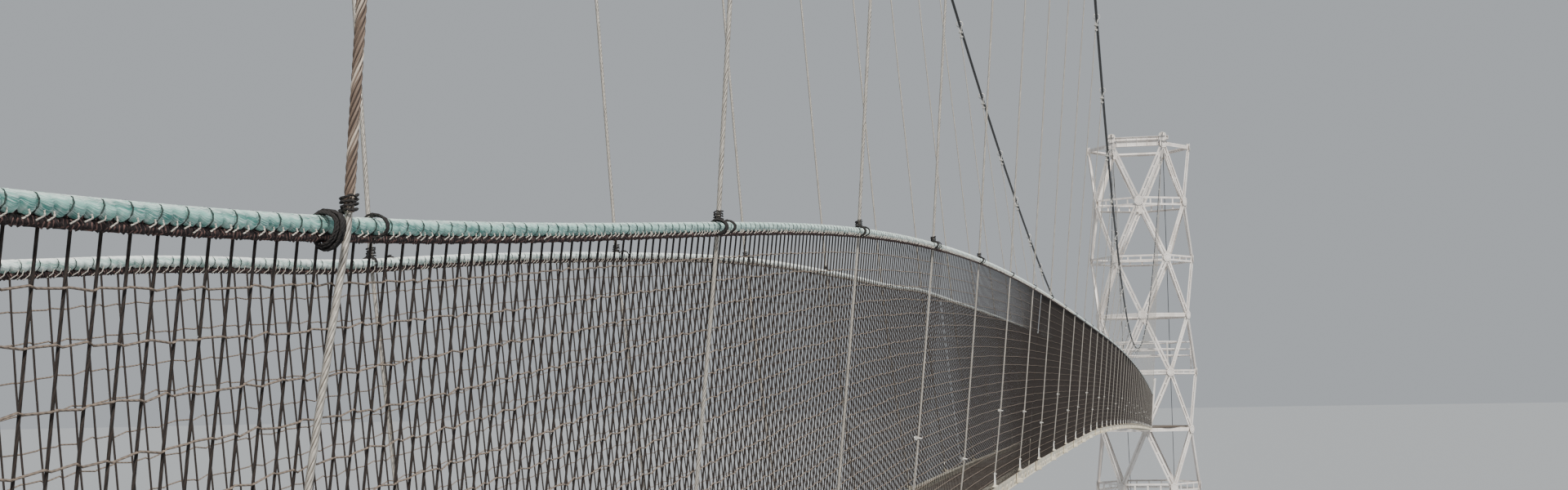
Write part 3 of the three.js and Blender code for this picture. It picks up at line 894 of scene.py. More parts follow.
class Lines:
    """Heights and places along the span."""

    # Small lifts of the left rope where its hangers pull it, by place along the span
    LEFT_LIFTS = (
        (-4.11, 0.0), (-3.85, 17 * MM), (-3.71, 19 * MM), (-3.6, -9.5 * MM), (-3.42, -15 * MM), (-3.24, -10 * MM),
        (-3.06, -16 * MM), (-2.88, -22 * MM), (-2.7, 4 * MM), (-2.5, 0.0), (4.2, 0.0),
    )

    def __init__(self, span: Span) -> None:
        """Keeps the span's sizes and works out the fixed places.

        Args:
            span: The sizes.
        """
        self.span = span
        self.end_x = span.end_x
        self.end_z = span.end_z
        saddle_x, self.saddle_y = middle("near_left_saddle")
        self.saddle_x = -saddle_x
        self.cable_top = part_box("near_left_saddle")[1].z + span.gap + span.cable_radius
        self.cable_bottom = self.end_z + span.cable_low
        self.anchor_x = -middle("near_anchor_block")[0]
        self.anchor_z = span.block_top + span.shoe_height / 3
        self.main_angle = math.atan(2 * (self.cable_top - self.cable_bottom) / self.saddle_x)
        self.stay_angle = math.atan((self.cable_top - self.anchor_z) / (self.anchor_x - self.saddle_x))
        self.main_x = self.saddle_x - span.bend * math.sin(self.main_angle)
        self.main_z = self.cable_top - span.bend * (1 - math.cos(self.main_angle))

    def station(self, bay: float) -> float:
        """Returns the place along the span of a bay's start."""
        return (bay - self.span.bays / 2) * self.span.bay

    def fallen(self, x: float, near: float, far: float, far_power: float) -> float:
        """Returns how far a line has fallen from its level part at a place.

        Args:
            x: The place.
            near: The fall at the near end.
            far: The fall at the far end.
            far_power: How the fall grows over the far half.

        Returns:
            The fall.
        """
        s = self.span
        x = max(-self.end_x, min(self.end_x, x))
        if x < s.far_start:
            return near * (-x / self.end_x) ** s.near_power
        return far * ((x - s.far_start) / (self.end_x - s.far_start)) ** far_power

    def deck(self, x: float) -> float:
        """Returns the height of the deck's top edge."""
        s = self.span
        return self.end_z + s.deck_fall - self.fallen(x, s.deck_fall, s.deck_fall, s.far_deck_power)

    def slope(self, x: float) -> Vector:
        """Returns the direction of the deck line."""
        step = 1e-3
        return at(step, 0, self.deck(x + step / 2) - self.deck(x - step / 2)).normalized()

    def lift(self, x: float) -> float:
        """Returns the left rope's small lift at a place.

        Args:
            x: The place.

        Returns:
            The lift.
        """
        for (a, low), (b, high) in zip(self.LEFT_LIFTS, self.LEFT_LIFTS[1:]):
            if a <= x <= b:
                share = (1 - math.cos(math.pi * (x - a) / (b - a))) / 2
                return low + (high - low) * share
        return 0.0

    def rail(self, x: float, side: Side) -> float:
        """Returns the height of a handrail rope's centre.

        Args:
            x: The place.
            side: Which rope.

        Returns:
            The height.
        """
        s = self.span
        past = max(0.0, abs(x) - (self.end_x - s.rise_length)) / s.rise_length
        fall = self.fallen(x, s.near_rail_fall, s.far_rail_fall, s.far_rail_power)
        rise = (s.near_rise if x < 0 else s.far_rise) * past**s.rise_power
        height = self.end_z + s.deck_fall + s.rail_height - fall + rise
        if side is Side.LEFT:
            height += self.lift(x) - s.left_drop * (min(1.0, abs(x) / self.end_x)) ** s.left_power
        return height

    def cable(self, x: float, side: Side) -> Vector:
        """Returns a place on a main cable between the saddles."""
        t, mid, low = (x / self.main_x) ** 2, self.span.cable_mid, self.cable_bottom
        return at(x, side.value * (mid + (self.saddle_y - mid) * t), low + (self.main_z - low) * t)

    def over_saddle(self, angle: float, side: Side, end: End) -> Vector:
        """Returns a place on a cable's bend over a saddle, by its angle from the top."""
        x, down = self.saddle_x + self.span.bend * math.sin(angle), self.span.bend * (1 - math.cos(angle))
        return at(end.value * x, side.value * self.saddle_y, self.cable_top - down)

    def shoe(self, side: Side, end: End) -> Vector:
        """Returns where a backstay is held at its anchor block."""
        return at(end.value * self.anchor_x, side.value * self.saddle_y, self.anchor_z)

    def net_y(self, up: float, side: Side) -> float:
        """Returns how far out a net hangs, by the share of the way up from the deck to the rope."""
        low, high = self.span.deck_half + self.span.net_foot_out, self.span.rail_half_gap - self.span.net_head_in
        return low + (high - low) * (1 - (1 - up) ** (1.0 if side is Side.RIGHT else self.span.left_belly))

    def hangers(self) -> list[float]:
        """Returns the places of the hangers along the span."""
        first = self.span.first_hanger
        return [self.station(i) for i in range(first, self.span.bays - first + 1)]

    def first(self, x: float, side: Side) -> bool:
        """Returns whether a hanger is one of the brown ones beside the right rope."""
        return side is Side.RIGHT and x < self.span.first_to

    def hung(self, x: float, side: Side) -> float:
        """Returns where the hanger of a bay really hangs."""
        early = side is Side.LEFT and abs(x - self.station(self.span.early_bay)) < self.span.gap
        return x - (self.span.first_early if self.first(x, side) else self.span.early if early else 0.0)

    def beside(self, x: float, side: Side) -> float:
        """Returns how far outside the rope's centre the hanger of a bay passes it."""
        right = self.span.first_beside if self.first(x, side) else self.span.right_beside
        return self.span.left_beside if side is Side.LEFT else right

    def sections(self) -> list[tuple[float, float]]:
        """Returns where each of the five deck sections starts and ends, with gaps between them."""
        joints, half = [self.station(bay) for bay in self.span.section_ends], self.span.gap / 2
        return list(zip([-self.end_x, *(x + half for x in joints)], [*(x - half for x in joints), self.end_x]))


# Sub-assemblies


@dataclass
class Assembly:
    """What every sub-assembly of the bridge works with."""

    lines: Lines
    shop: Workshop
    finishes: Finishes


@dataclass
class Handrail(Assembly):
    """One handrail rope with its lacing, ties and lashings."""

    side: Side
    radius: float = 9.8 * MM
    lay: float = 620 * MM
    # One mesh of the net, at which the rope is laced twice
    cell: float = 48 * MM
    close_to: float = -3.2
    laced_to: float = -2.2
    lashed_to: float = -2.9
    far_step: float = 60 * MM
    # How far the lacing draws the rope in, as a share
    pinch: float = 0.42
    # Where the small differences between the turns come from
    rng: random.Random = field(default_factory=random.Random, init=False)

    # The cords round the rope
    LOOP = Section(0.95 * MM, 3, pattern_turns=900)
    FAR_LOOP = Section(0.9 * MM, 3)
    TIE = Section(0.95 * MM, 3, pattern_turns=900)
    NEAR_BORDER = Section(5.4 * MM, 6, 2, 0.15, 1 / (21 * MM), 1 / (11 * MM))
    BORDER = Section(5.2 * MM, 5, pattern_turns=1 / (11 * MM))
    # A dark cord inside the rope that shows only through the scalloped notches: painted shade there
    HEAD = Section(4.4 * MM, 5, pattern_turns=1 / (11 * MM))
    LASHING = Section(1.7 * MM, 4, pattern_turns=700)

    def centre(self, x: float) -> Vector:
        """Returns a place on the rope's centre."""
        return at(x, self.side.value * self.lines.span.rail_half_gap, self.lines.rail(x, self.side))

    def near(self, step: float, shift: Vector = Vector()) -> Path:
        """Returns a line beside the part of the rope that is seen close."""
        return [self.centre(x) + shift for x in steps(-self.lines.end_x, self.close_to, step)]

    def far(self, shift: Vector = Vector()) -> Path:
        """Returns a line beside the rest of the rope."""
        return [self.centre(x) + shift for x in steps(self.close_to, self.lines.end_x, self.far_step)]

    def build(self) -> None:
        """Builds the rope and what is tied round it."""
        self.rope()
        self.cords()

    def rope(self) -> None:
        """Makes the rope, with its underside scalloped where it is seen close."""
        finish = self.finishes.rope if self.side is Side.RIGHT else self.finishes.far_rope
        turns = 1 / self.lay
        near = [place + Z * self.radius * (1 - self.pinched(place)) for place in self.near(self.cell / 10)]
        made = [
            self.shop.cords([near], Section(self.radius * 1.06, 10, pattern_turns=turns), finish, self.pinched),
            self.shop.cords([self.far()], Section(self.radius * 1.15, 8, pattern_turns=turns), finish),
        ]
        settle(f"{self.side.word}_rope", made, [f"{self.side.word}_handrail_rope"])

    def pinched(self, place: Vector) -> float:
        """Returns a factor on the rope's radius, which is less where lacing draws it in."""
        turn, part = divmod(2 * (place.x + self.lines.end_x) / self.cell, 1)
        return 1 - self.pinch * (1.0 if turn % 2 else 0.75) * (1 - math.sin(math.pi * part**1.5) ** 0.6)

    def cords(self) -> None:
        """Makes the lacing, the beige ties, the net's border, a dark cord that paints shade into the rope's notches,
        and the lashings.
        """
        shop, f = self.shop, self.finishes
        self.rng.seed(7 + self.side.value)
        loops, far_loops, ties = self.lacing()
        under = Z * -(self.radius + 4.5 * MM)
        notch_shade_shift = at(0, 2.5 * MM, -6.5 * MM)
        made = [
            shop.cords(loops, self.LOOP, f.loops),
            shop.cords(far_loops, self.FAR_LOOP, f.loops),
            shop.cords(ties, self.TIE, f.ties),
            shop.cords([self.near(6 * MM, under)], self.NEAR_BORDER, f.border),
            shop.cords([self.far(under)], self.BORDER, f.border),
            # Painted shade in the rope's notches, from the dark cord inside it
            shop.cords([self.near(12 * MM, notch_shade_shift)], self.HEAD, f.border),
            shop.cords(self.lashings(), self.LASHING, f.lacing),
        ]
        settle(f"{self.side.word}_rope_lacing", made)

    def lacing(self) -> tuple[list[Path], list[Path], list[Path]]:
        """Works out the turns of lacing and the ties between them.

        Returns:
            The turns that are seen close, those beyond, and the ties.
        """
        loops: list[Path] = []
        far_loops: list[Path] = []
        ties: list[Path] = []
        for i in range(1, int(2 * self.lines.end_x / self.cell)):
            x = -self.lines.end_x + i * self.cell
            if x < self.laced_to:
                close = x < self.close_to
                (loops if close else far_loops).append(self.loop(x, 10 if close else 5))
                ties += [self.tie(x), self.tie(x + self.cell * self.rng.uniform(0.3, 0.7))]
        return loops, far_loops, ties

    def loop(self, x: float, points: int) -> Path:
        """Returns one turn of lacing round the rope, open under it.

        Args:
            x: Its place.
            points: How many points it has.

        Returns:
            The points of the turn.
        """
        lean = self.rng.uniform(0, 7) * MM
        r = self.radius * 0.96 + 0.3 * MM
        centre = self.centre(x + self.rng.uniform(-2, 2) * MM)
        turn = []
        for i in range(points + 1):
            a = -math.pi / 2 + TAU * i / points
            turn.append(centre + at(lean * math.sin(a), r * math.cos(a), r * math.sin(a)))
        turn.append(centre + at(2 * MM, 0, -r - 5 * MM))
        return turn

    def tie(self, x: float) -> Path:
        """Returns a short beige cord that slants from the rope to the net's border.

        Args:
            x: Its place.

        Returns:
            Its three points, on the face that is the right rope's outer one.
        """
        rng = self.rng
        reach = 4 * MM if self.side is Side.RIGHT else 9 * MM
        out = Side.RIGHT.value * rng.uniform(6, 9) * MM
        top = self.centre(x + reach + rng.uniform(0, 3) * MM) + at(0, out * 1.2, -self.radius * 0.6)
        low = self.centre(x - reach + rng.uniform(0, 4) * MM)
        low += at(0, out, -self.radius - reach - rng.uniform(-2, 2) * MM)
        return [top, (top + low) / 2 + at(2.5 * MM, out * 0.3, 0), low]

    def lashings(self) -> list[Path]:
        """Works out the black cords that bind the hangers to the rope.

        Returns:
            The points of each cord.
        """
        found: list[Path] = []
        for x in self.lines.hangers():
            if x >= self.lashed_to:
                found.append(self.lashing(x, 4, 6))
                continue
            back, deep = (41 * MM, 1.8) if self.lines.first(x, self.side) else (21 * MM, 1.0)
            hung = self.lines.hung(x, self.side)
            found += [self.lashing(hung - back + shift * MM, 5, 14, deep) for shift in BOTH]
            found += [self.lashing(x + (60 + 9 * i) * MM, 1, 14) for i in range(2)]
            found.append(self.collar(x))
        return found

    def collar(self, x: float) -> Path:
        """Returns the turns of black cord round a bay's hanger just above the rope.

        Args:
            x: The bay's place.

        Returns:
            The points of the cord.
        """
        centre = self.centre(self.lines.hung(x, self.side)) + Y * self.side.value * self.lines.beside(x, self.side)
        turns, points = 4, 10
        cord = []
        for i in range(turns * points + 1):
            a = TAU * i / points
            out = self.rng.uniform(8, 10.5) * MM
            up = (13 + 0.5 * i + self.rng.uniform(-1.5, 1.5)) * MM
            cord.append(centre + at(out * math.cos(a), out * math.sin(a), up))
        return cord

    def lashing(self, x: float, turns: int, points: int, deep: float = 1.0) -> Path:
        """Returns the black cord that binds a hanger to the rope.

        Args:
            x: Its place.
            turns: How often it goes round.
            points: How many points each turn has.
            deep: How far it reaches below the rope, as a factor.

        Returns:
            The points of the cord.
        """
        cord = []
        width = turns * 4.2 * MM
        total = turns * points
        wide = self.radius
        for i in range(total + 1):
            if i % points == 0:
                wide = self.radius + self.rng.uniform(2, 6) * MM
            a = math.pi / 2 + TAU * i / points
            shift = -width / 2 + width * i / total + self.rng.uniform(-1.2, 1.2) * MM
            centre = self.centre(x + shift) + at(0, self.side.value * 5 * MM, 0)
            out = 1.35 if math.cos(a) * self.side.value > 0 else 1.0
            up = wide * math.sin(a)
            cord.append(centre + at(0, wide * math.cos(a) * out, up if up > 0 else up * deep))
        return cord


def ripple(column: float, row: int, pace: float, lag: float) -> float:
    """Returns a wave between -1 and 1 over the columns and rows of a net."""
    return math.sin(column * pace + row * lag)


@dataclass
class Netting(Assembly):
    """The net on one side: cords from rope to deck and twine along the walkway."""

    side: Side
    cell: float = 48 * MM
    close_to: float = -3.2
    # How far the net's edges stay below the deck's edge and the rope's centre
    foot_below: float = 10 * MM
    head_below: float = 15 * MM
    down_radius: float = 1.9 * MM
    along_radius: float = 1.4 * MM
    # How far the twine passes outside the cords
    twine_out: float = 1.6 * MM
    # Beyond the first panel the twine bends at every third knot
    far_skip: int = 3

    @property
    def rows(self) -> int:
        """How many meshes the net has between deck and rope."""
        return 24 if self.side is Side.RIGHT else 23

    def knot(self, column: float, row: int) -> Vector:
        """Returns the place of a knot, a little off the even mesh.

        Args:
            column: Its count along the span.
            row: Its count from the deck up.

        Returns:
            The place.
        """
        x = -self.lines.end_x + (column + 0.5) * self.cell
        up = row / self.rows
        bottom = self.lines.deck(x) - self.foot_below
        top = self.lines.rail(x, self.side) - self.head_below
        slack = math.sin(math.pi * up)
        sway = ripple(column, row, 12.9898, 0.8) * 1.6 * MM * slack
        belly = -4 * MM * slack * (1 + math.sin(column * 0.083))
        wave = ripple(column, row, 0.37, 1.7) + ripple(column, row, 0.113, 2.9)
        uneven = 1.0 if x < self.close_to else 0.45
        shift = (wave * 2.0 + 2.6 * ripple(column, row, 91.7, 47.3)) * uneven * MM * math.sqrt(slack)
        y = self.side.value * (self.lines.net_y(up, self.side) + belly)
        return at(x + sway, y, bottom + (top - bottom) * up + shift)

    def build(self) -> None:
        """Builds the five panels."""
        for index, (start, end) in enumerate(self.lines.sections()):
            self.panel(index, start, end)

    def panel(self, index: int, start: float, end: float) -> None:
        """Makes one panel of the net.

        Args:
            index: Its count.
            start: Where it starts.
            end: Where it ends.
        """
        first = math.ceil((start + self.lines.end_x) / self.cell - 0.5)
        last = math.floor((end + self.lines.end_x) / self.cell - 0.5)
        split = math.floor((self.close_to + self.lines.end_x) / self.cell)
        made = []
        if first < split:
            made += self.strings(first, min(split, last), 1, True)
        if last > max(first, split):
            made += self.strings(max(first, split), last, self.far_skip if index else 1, False)
        settle(f"{self.side.word}_netting_{index + 1}", made, [f"{self.side.word}_net_panel_{index + 1}"])

    def strings(self, first: int, last: int, skip: int, close: bool) -> list[Object]:
        """Makes the cords and twine between two columns.

        Args:
            first: The first column.
            last: The last column.
            skip: At how many knots the twine bends once.
            close: Whether the net is seen from close by.

        Returns:
            The swept cords and the swept twine.
        """
        levels = list(range(0, self.rows, 2 if close else 6)) + [self.rows]
        down = [[self.knot(column, row) for row in levels] for column in range(first, last + 1)]
        columns = [first - 0.5] + list(range(first, last, skip)) + [last, last + 0.5]
        along = []
        for row in range(self.rows):
            line: Path = []
            for column in columns:
                place = self.knot(column, row) + Y * self.side.value * self.twine_out
                if close:
                    bend = at(5 * MM, 0, -1.6 * ripple(column, row, 7.3, 3.1) * MM)
                    line += [place - bend, place + bend]
                else:
                    line.append(place)
            along.append(line)
        down_section = Section(self.down_radius, 4 if close else 3, pattern_turns=300)
        along_section = Section(self.along_radius, 3, pattern_turns=500)
        return [
            self.shop.cords(down, down_section, self.finishes.net_down),
            self.shop.cords(along, along_section, self.finishes.net_along),
        ]


@dataclass
class HangerSet:
    """The lines and clips of one side's hangers, by what they are made of."""

    uppers: list[Path] = field(default_factory=list)
    browns: list[Path] = field(default_factory=list)
    laid: list[Path] = field(default_factory=list)
    lowers: list[Path] = field(default_factory=list)
    doubles: list[Path] = field(default_factory=list)
    eyes: list[Path] = field(default_factory=list)
    legs: list[Path] = field(default_factory=list)
    clips: list[Copy] = field(default_factory=list)


@dataclass
class Suspension(Assembly):
    """One main cable with its hangers, eyes and clips."""

    side: Side
    lower_radius: float = 4.3 * MM
    upper_radius: float = 5.2 * MM
    thick_radius: float = 5.6 * MM
    leg_radius: float = 4.5 * MM
    wire_lay: float = 75 * MM
    cable_lay: float = 180 * MM
    # The longest step along the cable, in metres, and over a saddle, as an angle
    step: float = 0.08
    # Where the wires meet: the foot, the clip over it, the knot at the rope and the eye's throat
    foot_up: float = 62 * MM
    clip_above: float = 350 * MM
    knot_up: float = 14 * MM
    throat_down: float = 75 * MM
    # The first hangers are laid ropes for this much above the knot, and bow below it
    laid_length: float = 900 * MM
    bow: float = 60 * MM
    eye_wide: float = 30 * MM
    socket_reach: float = 216 * MM

    def build(self) -> None:
        """Builds the cable, the hangers and their fittings."""
        self.cable()
        self.hangers()

    def route(self) -> Path:
        """Returns the cable's line from anchor to anchor.

        Returns:
            Its points, from the near anchor block to the far one.
        """
        lines = self.lines
        route = [lines.cable(x, self.side) for x in steps(-lines.main_x, lines.main_x, self.step)]
        for end in End:
            angles = steps(-lines.main_angle, lines.stay_angle, self.step)[1:]
            bend = [lines.over_saddle(a, self.side, end) for a in angles]
            shoe = lines.shoe(self.side, end)
            towards = (bend[-1] - shoe).normalized()
            stay = bend + [shoe + towards * self.socket_reach]
            route = stay[::-1] + route if end is End.NEAR else route + stay
        return route

    def cable(self) -> None:
        """Makes the main cable."""
        section = Section(self.lines.span.cable_radius, 10, pattern_turns=1 / self.cable_lay)
        made = [self.shop.cords([self.route()], section, self.finishes.cable)]
        settle(f"{self.side.word}_cable", made, [f"{self.side.word}_main_cable"])

    def places(self, x: float) -> tuple[Vector, Vector, Vector]:
        """Returns the three places that a bay's hanger passes.

        Args:
            x: The bay's place.

        Returns:
            Where it meets the cable, passes the rope and meets the crossbar.
        """
        s = self.lines.span
        hung = self.lines.hung(x, self.side)
        top = self.lines.cable(hung, self.side)
        out = s.rail_half_gap + self.lines.beside(x, self.side)
        rail = at(hung, self.side.value * out, self.lines.rail(hung, self.side))
        foot = x if self.lines.first(x, self.side) else hung
        low = at(foot, self.side.value * (s.deck_half + 20 * MM), self.lines.deck(foot) + 10 * MM)
        return top, rail, low

    def hangers(self) -> None:
        """Makes the hangers with their eyes, clips and feet."""
        f, shop = self.finishes, self.shop
        found = HangerSet()
        for x in self.lines.hangers():
            self.lower(x, found)
            self.upper(x, found)
        lay = 1 / self.wire_lay
        wire = Section(self.upper_radius, 6, pattern_turns=lay)
        made = [
            shop.cords(found.uppers, wire, f.wire),
            shop.cords(found.lowers, Section(self.lower_radius, 6, pattern_turns=lay), f.wire),
            shop.cords(found.doubles, Section(self.lower_radius * 0.8, 5, pattern_turns=lay), f.wire),
            shop.cords(found.legs, Section(self.leg_radius, 5), f.zinc),
            shop.cords(found.eyes, Section(self.lower_radius * 1.1, 5, pattern_turns=lay), f.zinc),
        ]
        if found.laid:
            made.append(shop.cords(found.laid, Section(self.thick_radius, 18, 6, 0.13, lay), f.old_wire))
            made.append(shop.cords(found.browns, wire, f.old_wire))
        settle(f"{self.side.word}_hangers", made)
        part = self.clip_part()
        settle(f"{self.side.word}_hanger_clips", [shop.copies(part, found.clips, f.zinc)])
        bpy.data.objects.remove(part)

    def upper(self, x: float, found: HangerSet) -> None:
        """Works out a hanger's part above the rope, with its eye round the cable.

        Args:
            x: The bay's place.
            found: Takes its lines and clips.
        """
        top, rail, _ = self.places(x)
        knot = rail + Z * self.knot_up
        up = (top - knot).normalized()
        throat = top - up * self.throat_down
        if self.lines.first(x, self.side):
            joint = knot + up * self.laid_length
            found.laid.append([knot + (joint - knot) * t for t in steps(0, 1, 0.006)])
            found.browns.append([joint, throat])
        else:
            found.uppers.append([knot, throat])
        found.eyes.append(self.eye(top, up))
        found.clips.append((throat, basis(Y, up), (1.3, 1.0, 1.3)))
        found.clips.append((throat - up * 45 * MM, basis(X, up), (1.1, 1.0, 1.1)))

    def lower(self, x: float, found: HangerSet) -> None:
        """Works out a hanger's part below the rope, with its doubled end.

        Args:
            x: The bay's place.
            found: Takes its lines and clips.
        """
        near = self.lines.first(x, self.side)
        bow = self.bow if near else 0.0
        _, rail, low = self.places(x)
        down = (low - rail).normalized()
        foot = low + Z * self.foot_up
        share = (self.clip_above + 110 * MM * math.sin(x * 711.0)) / (rail - low).length
        shares = (0.99, 0.92, 0.82, 0.65, share, 0.32, 0.16) if near else (0.6, share)
        wire = [low.lerp(rail, t) - X * bow * math.sin(math.pi * (1 - t)) for t in shares]
        held = shares.index(share)
        tied = wire[held]
        head = rail + Z * (self.knot_up if near else 5 * MM)
        found.lowers.append([head, *wire, foot])
        aside = X * 8 * MM
        found.doubles.append([tied - down * 26 * MM, *(place + aside for place in wire[held:]), foot + aside * 0.7])
        found.legs += [[foot + Z * 6 * MM, low + X * s * 27 * MM - Z * 2 * MM] for s in BOTH]
        turn = basis(X, down)
        found.clips.append((tied + aside / 2, turn, FULL_SIZE))
        found.clips.append((foot, turn, (0.8, 0.8, 0.8)))

    def eye(self, top: Vector, up: Vector) -> Path:
        """Returns the eye of wire that holds a hanger to the cable.

        Args:
            top: The cable's centre.
            up: The hanger's direction.

        Returns:
            The points of the eye.
        """
        across = up.cross(X).normalized()
        centre = top + up * 2 * MM
        ends = [top - up * 78 * MM + across * s * 4 * MM for s in BOTH]
        bend = []
        for a in steps(-0.35 * math.pi, 1.35 * math.pi, 0.5):
            aside = X * 9 * MM - across * self.eye_wide
            bend.append(centre + aside * math.cos(a) + up * (math.sin(a) * self.eye_wide * 0.9))
        return [ends[0], *bend, ends[1]]

    def clip_part(self) -> Object:
        """Makes a wire clip, with a U-bolt and two nuts, across a wire along Y.

        Returns:
            The clip, to be copied.
        """
        clip = Solid()
        clip.box(Z * 7 * MM, mm(30, 16, 9), 2 * MM)
        for s in BOTH:
            leg = X * s * 10 * MM
            clip.rod(3 * MM, 6, leg - Z * 12 * MM, leg + Z * 17 * MM)
            clip.rod(6 * MM, 6, leg + Z * 11.5 * MM, leg + Z * 17.5 * MM)
        clip.rod(3 * MM, 6, at(-11 * MM, 0, -11 * MM), at(11 * MM, 0, -11 * MM), Y)
        return clip.made("clip_part", self.finishes.zinc)


@dataclass
class Deck(Assembly):
    """The ladder deck: stringers, rungs, crossbars and walking boards."""

    # The stringers, which are channels open to the inside
    depth: float = 90 * MM
    width: float = 30 * MM
    wall: float = 4 * MM
    # The rungs and crossbars
    rung_pitch: float = 300 * MM
    rung_radius: float = 14 * MM
    rung_drop: float = 50 * MM
    collar: float = 1.25
    bar_half: float = 262 * MM
    bracket: float = 74 * MM
    # The boards, in two rows
    board_half: float = 180 * MM
    board_thick: float = 25 * MM
    board_lengths: tuple[float, float] = (3200, 3900)
    shortest_board: float = 900 * MM

    def build(self) -> None:
        """Builds the five sections of the deck and of its boards."""
        rung = self.rung_part()
        bar = self.bar_part()
        for index, (start, end) in enumerate(self.lines.sections()):
            self.section(index, start, end, rung, bar)
            self.boards(index, start, end)
        bpy.data.objects.remove(rung)
        bpy.data.objects.remove(bar)

    def channel(self, side: Side) -> Outline:
        """Returns a stringer's section.

        Args:
            side: Which stringer.

        Returns:
            Its corners as (across, up from the deck line).
        """
        out, inner = self.lines.span.deck_half, self.lines.span.deck_half - self.width
        t, d = self.wall, self.depth
        points = [(out, 0), (out, -t * 1.4), (out - t, -t * 1.8), (out - t, -d + t * 1.8), (out, -d + t * 1.4)]
        points += [(out, -d), (inner, -d), (inner, -d + t), (out - 2 * t, -d + t * 1.6)]
        points += [(out - 2 * t, -t * 1.6), (inner, -t), (inner, 0)]
        return [(side.value * y, z) for y, z in points]

    def section(self, index: int, start: float, end: float, rung: Object, bar: Object) -> None:
        """Makes one ladder section.

        Args:
            index: Its count.
            start: Where it starts.
            end: Where it ends.
            rung: The rung to copy.
            bar: The crossbar to copy.
        """
        lines, finish = self.lines, self.finishes.deck
        stringers = Solid()
        for side in Side:
            outline = self.channel(side)
            places = steps(start, end, self.rung_pitch)
            stringers.loft([[at(x, y, lines.deck(x) + z) for y, z in outline] for x in places])
        rungs: list[Copy] = []
        count = int((end - start - 200 * MM) / self.rung_pitch)
        margin = (end - start - count * self.rung_pitch) / 2
        for i in range(count + 1):
            x = start + margin + i * self.rung_pitch
            centre = at(x, 0, lines.deck(x) - self.rung_drop - self.rung_radius + 2 * MM)
            rungs.append((centre, basis(Y, lines.slope(x)), FULL_SIZE))
        bars: list[Copy] = []
        for x in (lines.station(i) for i in range(1, lines.span.bays)):
            if start + 20 * MM < x < end - 20 * MM:
                centre = at(x, 0, lines.deck(x) - self.rung_drop - 15 * MM)
                bars.append((centre, basis(Y, -lines.slope(x)), FULL_SIZE))
        made = [
            stringers.made("stringers", finish),
            self.shop.copies(rung, rungs, finish),
            self.shop.copies(bar, bars, finish),
            self.rung_ends([centre for centre, _, _ in rungs]),
        ]
        settle(f"ladder_section_{index + 1}", made, [f"deck_section_{index + 1}"])

    def rung_ends(self, centres: Path) -> Object:
        """Makes dark discs at the ends of the rungs: painted shade for the inside of the hollow rungs.

        Args:
            centres: The middles of the rungs.

        Returns:
            One object with every disc.
        """
        shade_discs = Solid()
        face = self.lines.span.deck_half + 0.2 * MM
        for centre in centres:
            for s in BOTH:
                inner, outer = (centre + Y * s * (face + depth) for depth in mm(-2, 0.4))
                shade_discs.rod(self.rung_radius * 0.72, 8, inner, outer)
        return shade_discs.made("rung_ends", self.finishes.hollow)

    def rung_part(self) -> Object:
        """Makes a round rung along X with a flared collar at each end.

        Returns:
            The rung, to be copied.
        """
        rung = Solid()
        half = self.lines.span.deck_half
        ends = ((half, self.collar), (half - 3 * MM, self.collar), (half - 5 * MM, 1.0))
        places = [(-x, flare) for x, flare in ends] + list(reversed(ends))
        rung.loft([[at(x, u, v) for u, v in circle(self.rung_radius * flare, 10)] for x, flare in places])
        return rung.made("rung_part", self.finishes.deck, True)

    def bar_part(self) -> Object:
        """Makes a crossbar along X with a hanger bracket at each end.

        Returns:
            The crossbar, to be copied.
        """
        bar = Solid()
        edge = self.lines.span.deck_half
        bar.box(Vector(), (2 * self.bar_half, 40 * MM, 30 * MM), 3 * MM)
        for s in BOTH:
            out = s * (edge + 18 * MM)
            bar.box(at(out, 0, 68 * MM), (32 * MM, self.bracket, 9 * MM), 2 * MM)
            bar.box(at(s * (edge + 4 * MM), 0, 27 * MM), (8 * MM, self.bracket, 88 * MM), 3 * MM)
            for t in BOTH:
                place = at(out, t * 27 * MM, 70 * MM)
                bar.rod(6 * MM, 6, place, place + Z * 12 * MM, Y)
        return bar.made("bar_part", self.finishes.deck)

    def boards(self, index: int, start: float, end: float) -> None:
        """Makes the walking boards of one section.

        Args:
            index: The section's count.
            start: Where it starts.
            end: Where it ends.
        """
        boards = Solid()
        rng = random.Random(40 + index)
        outline = cut_rectangle(self.board_half - 4 * MM, self.board_thick, 2.5 * MM)
        low = self.rung_drop - 3 * MM - self.board_thick / 2
        for row in BOTH:
            y = row * (self.board_half / 2)
            x = start
            while x < end - 100 * MM:
                length = min(rng.uniform(*self.board_lengths) * MM, end - x)
                if end - x - length < self.shortest_board:
                    length = end - x
                stop = x + length - (5 * MM if x + length < end - 1 * MM else 0)
                lift = rng.uniform(0, 3) * MM
                boards.loft([
                    [at(p, y + u, self.lines.deck(p) - low + v + lift) for u, v in outline]
                    for p in steps(x, stop, 450 * MM)
                ])
                x += length
        made = [boards.made("boards", self.finishes.timber)]
        settle(f"walk_boards_{index + 1}", made, [f"deck_plank_{index + 1}"])


@dataclass(frozen=True)
class Channel:
    """A rolled channel's section, measured from the back of its web."""

    flange: float
    half: float
    web: float
    tip: float
    root: float

    def outline(self, facing: int) -> Outline:
        """Returns the section's corners, with its flanges pointing one way, as a sign."""
        upper = [(0, 0), (self.flange, 0), (self.flange, self.tip), (self.web, self.root)]
        return [(facing * u, s * (self.half - v)) for s, row in ((-1, upper), (1, upper[::-1])) for u, v in row]


